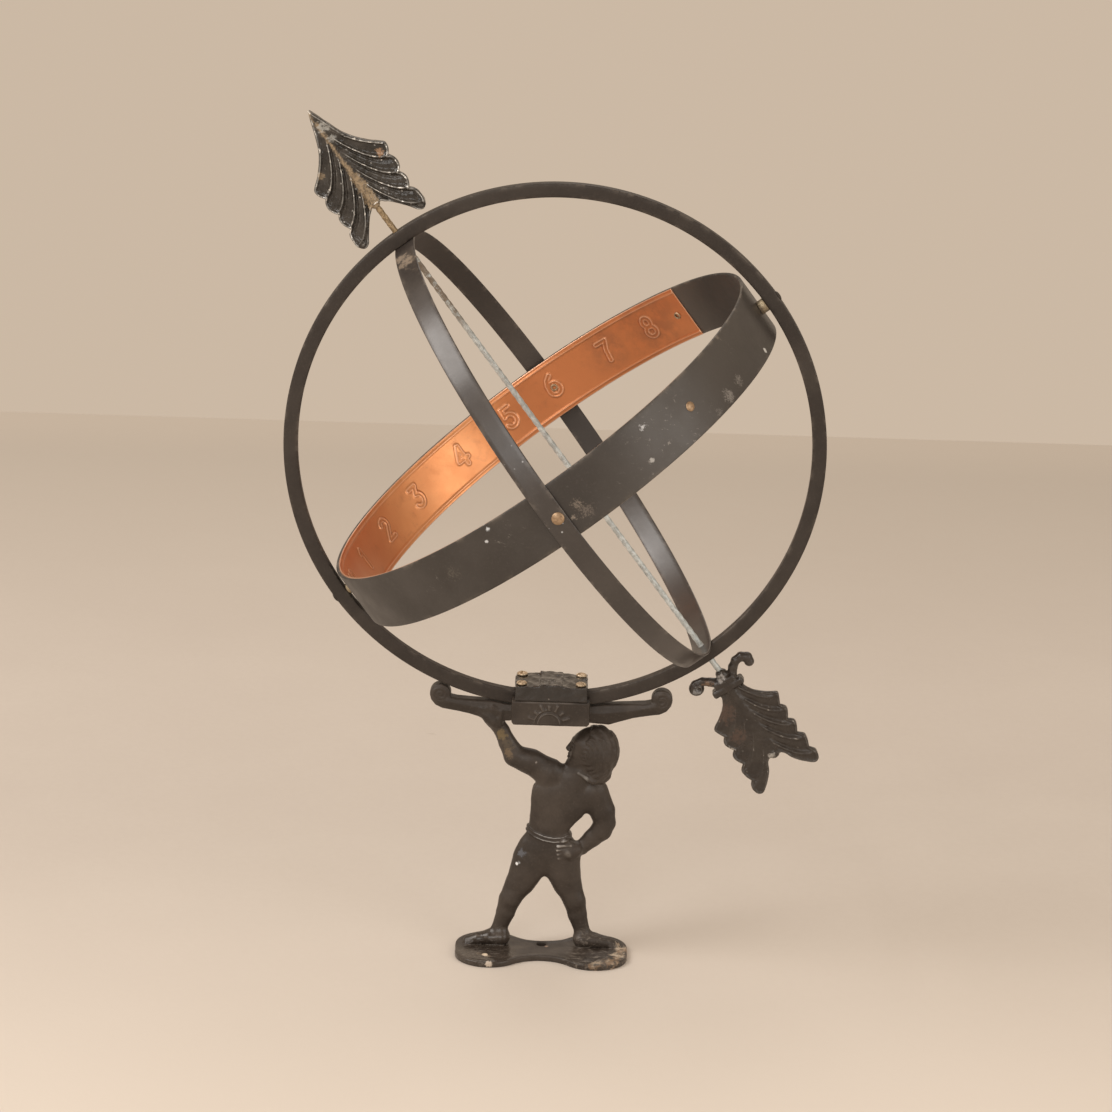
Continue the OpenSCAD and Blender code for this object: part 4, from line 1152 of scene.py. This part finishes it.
def copper():
    k = Look("copper")
    k.color = k.mix(k.wander(38, 4, 41.0), (0.86, 0.40, 0.18), (0.76, 0.31, 0.125))
    # Darker and redder towards noon. Darker and browner at the hours far from noon, which is painted shade,
    # with stains and smoky clouds at the later hours.
    k.tint(k.spot((-128, 30, 250), 62, 0.5, 0.2, 4.0, 30), 0.6, (0.45, 0.15, 0.065))
    # Painted shade: darker and browner from about 18 mm along x towards midnight.
    k.tint(k.ramp(k.along((1, 0, 0)), -0.062, -0.018), 0.85, (0.57, 0.215, 0.088))
    k.tint(k.cloud(14, 5, 0.65, 43.0, 0.54, 0.74, warp=0.6), 0.45, (0.42, 0.165, 0.08))
    smoky = k.math("MAXIMUM", k.spot((60, 140, 385), 24, 0.6, 0.5, 3.0, 12),
                   k.spot((32, 149, 363), 14, 0.6, 0.5, 5.0, 12))
    k.tint(k.times(smoky, k.cloud(12, 4, 0.6, 42.0, 0.36, 0.60)), 0.55, (0.32, 0.145, 0.08))
    # Dark in the grooves, bright on the numerals' edges, and finely dusted.
    k.tint(k.edges(0.495, 0.465), 0.55, (0.30, 0.115, 0.055))
    k.tint(k.edges(0.508, 0.54), 0.5, (0.92, 0.62, 0.45))
    k.tint(k.cloud(1.4, 3, 0.6, 44.0, 0.55, 0.8), 0.20, (0.40, 0.155, 0.07))
    return k.finish(k.wander(20, 4, 45.0, 0.34, 0.46), ((16, 3, 0.5, 46.0, 0.2), (0.9, 3, 0.6, 47.0, 0.02)),
                    metallic=1.0, coat=0.3, coat_rough=0.35)


def worn_brass(name, bright, dark, seed, rough, cover=0.5, eyes=()):
    """Tarnished brass, with painted shade in the open eyes of tubular rivets."""
    k = Look(name)
    dirt = k.cloud(3.2, 4, 0.65, seed, cover - 0.12, cover + 0.16)
    k.color = k.mix(dirt, bright, dark)
    k.tint(k.cloud(0.9, 3, 0.6, seed + 2, 0.5, 0.8), 0.4, shade(dark, 0.5))
    metallic = k.ramp(dirt, 0.2, 1.0, 0.9, 0.3)
    for at in eyes:
        # Painted shade: near black and not metallic in each rivet's open eye.
        hole = k.spot(at, 1.25, 0.15, 0.05, seed, 1.0)
        k.tint(hole, 1.0, (0.012, 0.009, 0.007))
        metallic = k.times(metallic, k.math("SUBTRACT", 1.0, hole))
    return k.finish(k.wander(2.0, 3, seed + 4, *rough), ((1.1, 3, 0.6, seed + 6, 0.10),), metallic)


def dull_brass():
    return worn_brass("dull_brass", (0.42, 0.35, 0.24), (0.17, 0.13, 0.09), 51.0, (0.45, 0.7))


def painted_rivet():
    return worn_brass("painted_rivet", (0.10, 0.08, 0.06), (0.035, 0.028, 0.023), 57.0, (0.4, 0.6), 0.40)


def rivet_brass():
    eye = Vector(((STRIP_R - STRIP_T) * MM, 0, 0))
    eyes = [tuple(at_hour(hour) @ eye / MM) for hour in (CROSSINGS[1], *STRIP_RIVETS)]
    return worn_brass("rivet_brass", (0.44, 0.31, 0.20), (0.18, 0.115, 0.065), 63.0, (0.36, 0.6), 0.55, eyes)


def screw_brass():
    return worn_brass("screw_brass", (0.66, 0.54, 0.39), (0.24, 0.17, 0.10), 67.0, (0.30, 0.5), 0.54)


def rod_zinc():
    k = Look("rod_zinc")
    k.color = k.mix(k.cloud(6, 3, 0.6, 71.0, 0.40, 0.66), (0.50, 0.54, 0.54), (0.40, 0.43, 0.43))
    white = k.cloud(4, 3, 0.6, 72.0, 0.46, 0.62)
    k.tint(white, 0.6, (0.68, 0.73, 0.73))
    # Rusty towards the north pole, and brassy at the upper end.
    rust = k.times(k.spot((-80, 0, 442), 34, 0.35, 0.35, 5.0, 20), k.cloud(4.5, 4, 0.65, 74.0, 0.34, 0.54))
    k.tint(rust, 0.85, (0.17, 0.12, 0.075))
    brassy = k.mix(k.cloud(2.0, 3, 0.6, 75.0, 0.4, 0.65), (0.40, 0.30, 0.18), (0.20, 0.14, 0.075))
    k.tint(k.spot((-113, 0, 486), 26, 0.1, 0.05, 5.0, 20), 1.0, brassy)
    return k.finish(k.wander(3.0, 4, 76.0, 0.46, 0.6), ((1.6, 4, 0.6, 77.0, 0.03),),
                    k.ramp(white, 0.0, 1.0, 0.5, 0.2))


def bare_spine(k, tone, seed):
    """Bare metal along the arrowhead's middle, from the rod's end towards the point."""
    rise, lean = math.sin(LATITUDE), math.cos(LATITUDE)
    across = k.math("ABSOLUTE", k.math("SUBTRACT", k.along((rise, 0, lean)), lean * CENTRE_Z * MM))
    uneven = k.math("SUBTRACT", k.noise(3.0, 4, 0.7, seed), 0.5)
    across = k.math("ADD", across, k.times(uneven, 0.009))
    up = k.math("SUBTRACT", k.along((-lean, 0, rise)), (rise * CENTRE_Z + HEAD_S) * MM)
    width = k.ramp(up, 0.0, 0.044, 0.0042, 0.0008)
    dirty = k.mix(k.cloud(1.6, 4, 0.65, seed + 1, 0.42, 0.62), tone, shade(tone, 0.45))
    k.tint(k.ramp(k.math("SUBTRACT", across, width), 0.0008, -0.0008), 0.9, dirty)


def worn_casting(name, seed, dark, pale, silver, amount, patches, rough, spine=None):
    """Glossy black paint rubbed to silvery metal on the ridges, with flecks, and bare patches and spine."""
    k = painted(name, dark, pale, 10, seed)
    k.wear((0.505, 0.56), (5.0, 4, 0.65, seed + 1, 0.30, 0.52), amount, shade(silver, 0.4))
    if spine:
        bare_spine(k, spine, seed + 7)
    fleck = k.times(k.cloud(1.5, 4, 0.7, seed + 9, 0.58, 0.70), k.cloud(8, 3, 0.6, seed + 10, 0.42, 0.62))
    k.tint(fleck, 0.6 * amount, shade(silver, 0.5))
    cover = 0.64 - 0.12 * amount
    rubbed = k.times(k.edges(0.51, 0.545), k.cloud(3.4, 3, 0.65, seed + 2, cover, cover + 0.06))
    k.tint(rubbed, 1.0, silver)
    for at, r, strength, color in patches:
        k.tint(k.flaked(at, r, seed + 3, 2.2), strength, color)
    bumps = ((2.6, 3, 0.6, seed + 5, 0.42), (0.7, 2, 0.5, seed + 6, 0.04))
    return k.finish(k.wander(5, 4, seed + 4, *rough), bumps, k.times(rubbed, 0.8))


def head_paint():
    gold, silver = (0.34, 0.255, 0.16), (0.50, 0.50, 0.47)
    patches = (((-113, -2, 522), 2.8, 0.8, (0.36, 0.22, 0.13)), ((-149, -2, 506), 3.0, 0.6, gold),
               ((-148, -2, 537), 4.0, 0.6, silver), ((-143, -2, 530), 3.0, 0.5, silver))
    return worn_casting("head_paint", 81.0, (0.015, 0.013, 0.011), (0.048, 0.042, 0.036), (0.82, 0.81, 0.77),
                        0.9, patches, (0.10, 0.24), gold)


def tail_paint():
    red = (0.085, 0.050, 0.036)
    patches = (((112, -3, 165), 8, 0.6, red), ((122, -3, 150), 6, 0.6, red),
               ((109, -4, 189), 3.2, 0.9, (0.34, 0.33, 0.32)), ((101, -4, 184), 3.5, 0.8, (0.17, 0.10, 0.06)),
               ((94, -4, 179), 3.0, 0.6, (0.30, 0.30, 0.30)),
               ((143.5, -3.5, 137.4), 3.0, 0.9, (0.34, 0.32, 0.29)))
    return worn_casting("tail_paint", 91.0, (0.023, 0.017, 0.0135), (0.038, 0.030, 0.024), (0.50, 0.47, 0.43),
                        0.35, patches, (0.24, 0.40))


def floor_look():
    k = Look("studio_floor")
    k.color = k.mix(k.wander(420, 4, 2.0), (0.574, 0.522, 0.470), (0.608, 0.558, 0.503))
    k.tint(k.cloud(6, 4, 0.6, 3.0, 0.35, 0.7), 0.08, (0.48, 0.42, 0.37))
    scuff = k.cloud(16, 4, 0.6, 5.0, 0.70, 0.76, stretch=(0.4, 1, 1))
    k.tint(k.times(scuff, k.cloud(240, 2, 0.5, 6.0, 0.5, 0.6)), 0.3, (0.36, 0.31, 0.24))
    # Painted light falloff: darker towards the back, softly into the backdrop, and paler towards the camera.
    far = k.along((0, 1, 0))
    k.tint(k.ramp(far, 0.45, FLOOR_BACK), 0.95, (0.502, 0.456, 0.400))
    k.tint(k.ramp(far, FLOOR_BACK - 0.14, FLOOR_BACK), 1.0, (0.545, 0.492, 0.430))
    k.tint(k.ramp(far, 0.28, -0.45), 0.95, (0.735, 0.672, 0.600))
    return k.finish(k.wander(60, 3, 4.0, 0.6, 0.75), ((3, 3, 0.6, 7.0, 0.1),), specular=0.2)


# ------------------------------------------------------------------ studio

FLOOR_BACK = 1.25         # metres behind the stand where the floor meets the backdrop
CAMERA_YAW = math.radians(0.542)
CAMERA_DOWN = math.radians(16.961)
CAMERA_ROLL = math.radians(1.6)
CAMERA_LENS = 171.1
LOOK_AT = Vector((-0.63, -67.8, 3308.1)) * MM    # the sphere's centre seen from the camera: right, down, ahead


def build_camera():
    # Rows of view: right, down and ahead in the row frame.
    view = (Matrix.Rotation(CAMERA_ROLL, 3, "Z") @ Matrix.Rotation(CAMERA_DOWN, 3, "X")
            @ Matrix(((1, 0, 0), (0, 0, -1), (0, 1, 0))) @ Matrix.Rotation(-CAMERA_YAW, 3, "Z"))
    place = Vector((0, 0, CENTRE_Z * MM)) - view.transposed() @ LOOK_AT
    data = bpy.data.cameras.new("camera")
    data.lens, data.sensor_width = CAMERA_LENS, 36.0
    data.clip_start, data.clip_end = 0.1, 50.0
    camera = bpy.data.objects.new("camera", data)
    right, down, ahead = view
    camera.matrix_world = Matrix.Translation(place) @ Matrix((right, -down, -ahead)).transposed().to_4x4()
    bpy.context.scene.collection.objects.link(camera)
    bpy.context.scene.camera = camera


def area_light(name, at, size, power, color):
    data = bpy.data.lights.new(name, "AREA")
    data.shape, data.size, data.energy, data.color = "DISK", size, power, color
    light = bpy.data.objects.new(name, data)
    light.location = at
    light.rotation_euler = (Vector((0, 0, 0.3)) - Vector(at)).to_track_quat("-Z", "Y").to_euler()
    bpy.context.scene.collection.objects.link(light)


def build_studio():
    mesh = bpy.data.meshes.new("studio_floor")
    mesh.from_pydata([(-6, -6, 0), (6, -6, 0), (6, FLOOR_BACK, 0), (-6, FLOOR_BACK, 0)], [], [(0, 1, 2, 3)])
    floor = bpy.data.objects.new("studio_floor", mesh)
    mesh.materials.append(floor_look())
    bpy.context.scene.collection.objects.link(floor)
    world = bpy.data.worlds.new("studio")
    world.use_nodes = True
    sky = world.node_tree.nodes["Background"]
    sky.inputs["Color"].default_value = (0.600, 0.485, 0.375, 1)
    sky.inputs["Strength"].default_value = 1.0
    bpy.context.scene.world = world
    area_light("key_light", (-2.4, -0.8, 2.5), 2.1, 66, (1.0, 0.955, 0.915))
    area_light("side_light", (2.35, -1.65, 1.25), 2.0, 20, (1.0, 0.98, 0.95))
    area_light("front_light", (-0.6, -3.0, 1.5), 1.8, 22, (1.0, 0.99, 0.98))
    area_light("back_light", (0.3, 2.0, 2.6), 1.6, 10, (1.0, 0.99, 0.98))
    bpy.context.scene.view_settings.view_transform = "Standard"
    bpy.context.scene.view_settings.look = "None"


build_pedestal()
build_cap()
build_screws()
build_meridian_ring()
build_colure_ring()
build_band()
build_hour_strip()
build_spacers()
build_rivets()
build_rod()
build_arrow_head()
build_arrow_tail()
build_camera()
build_studio()
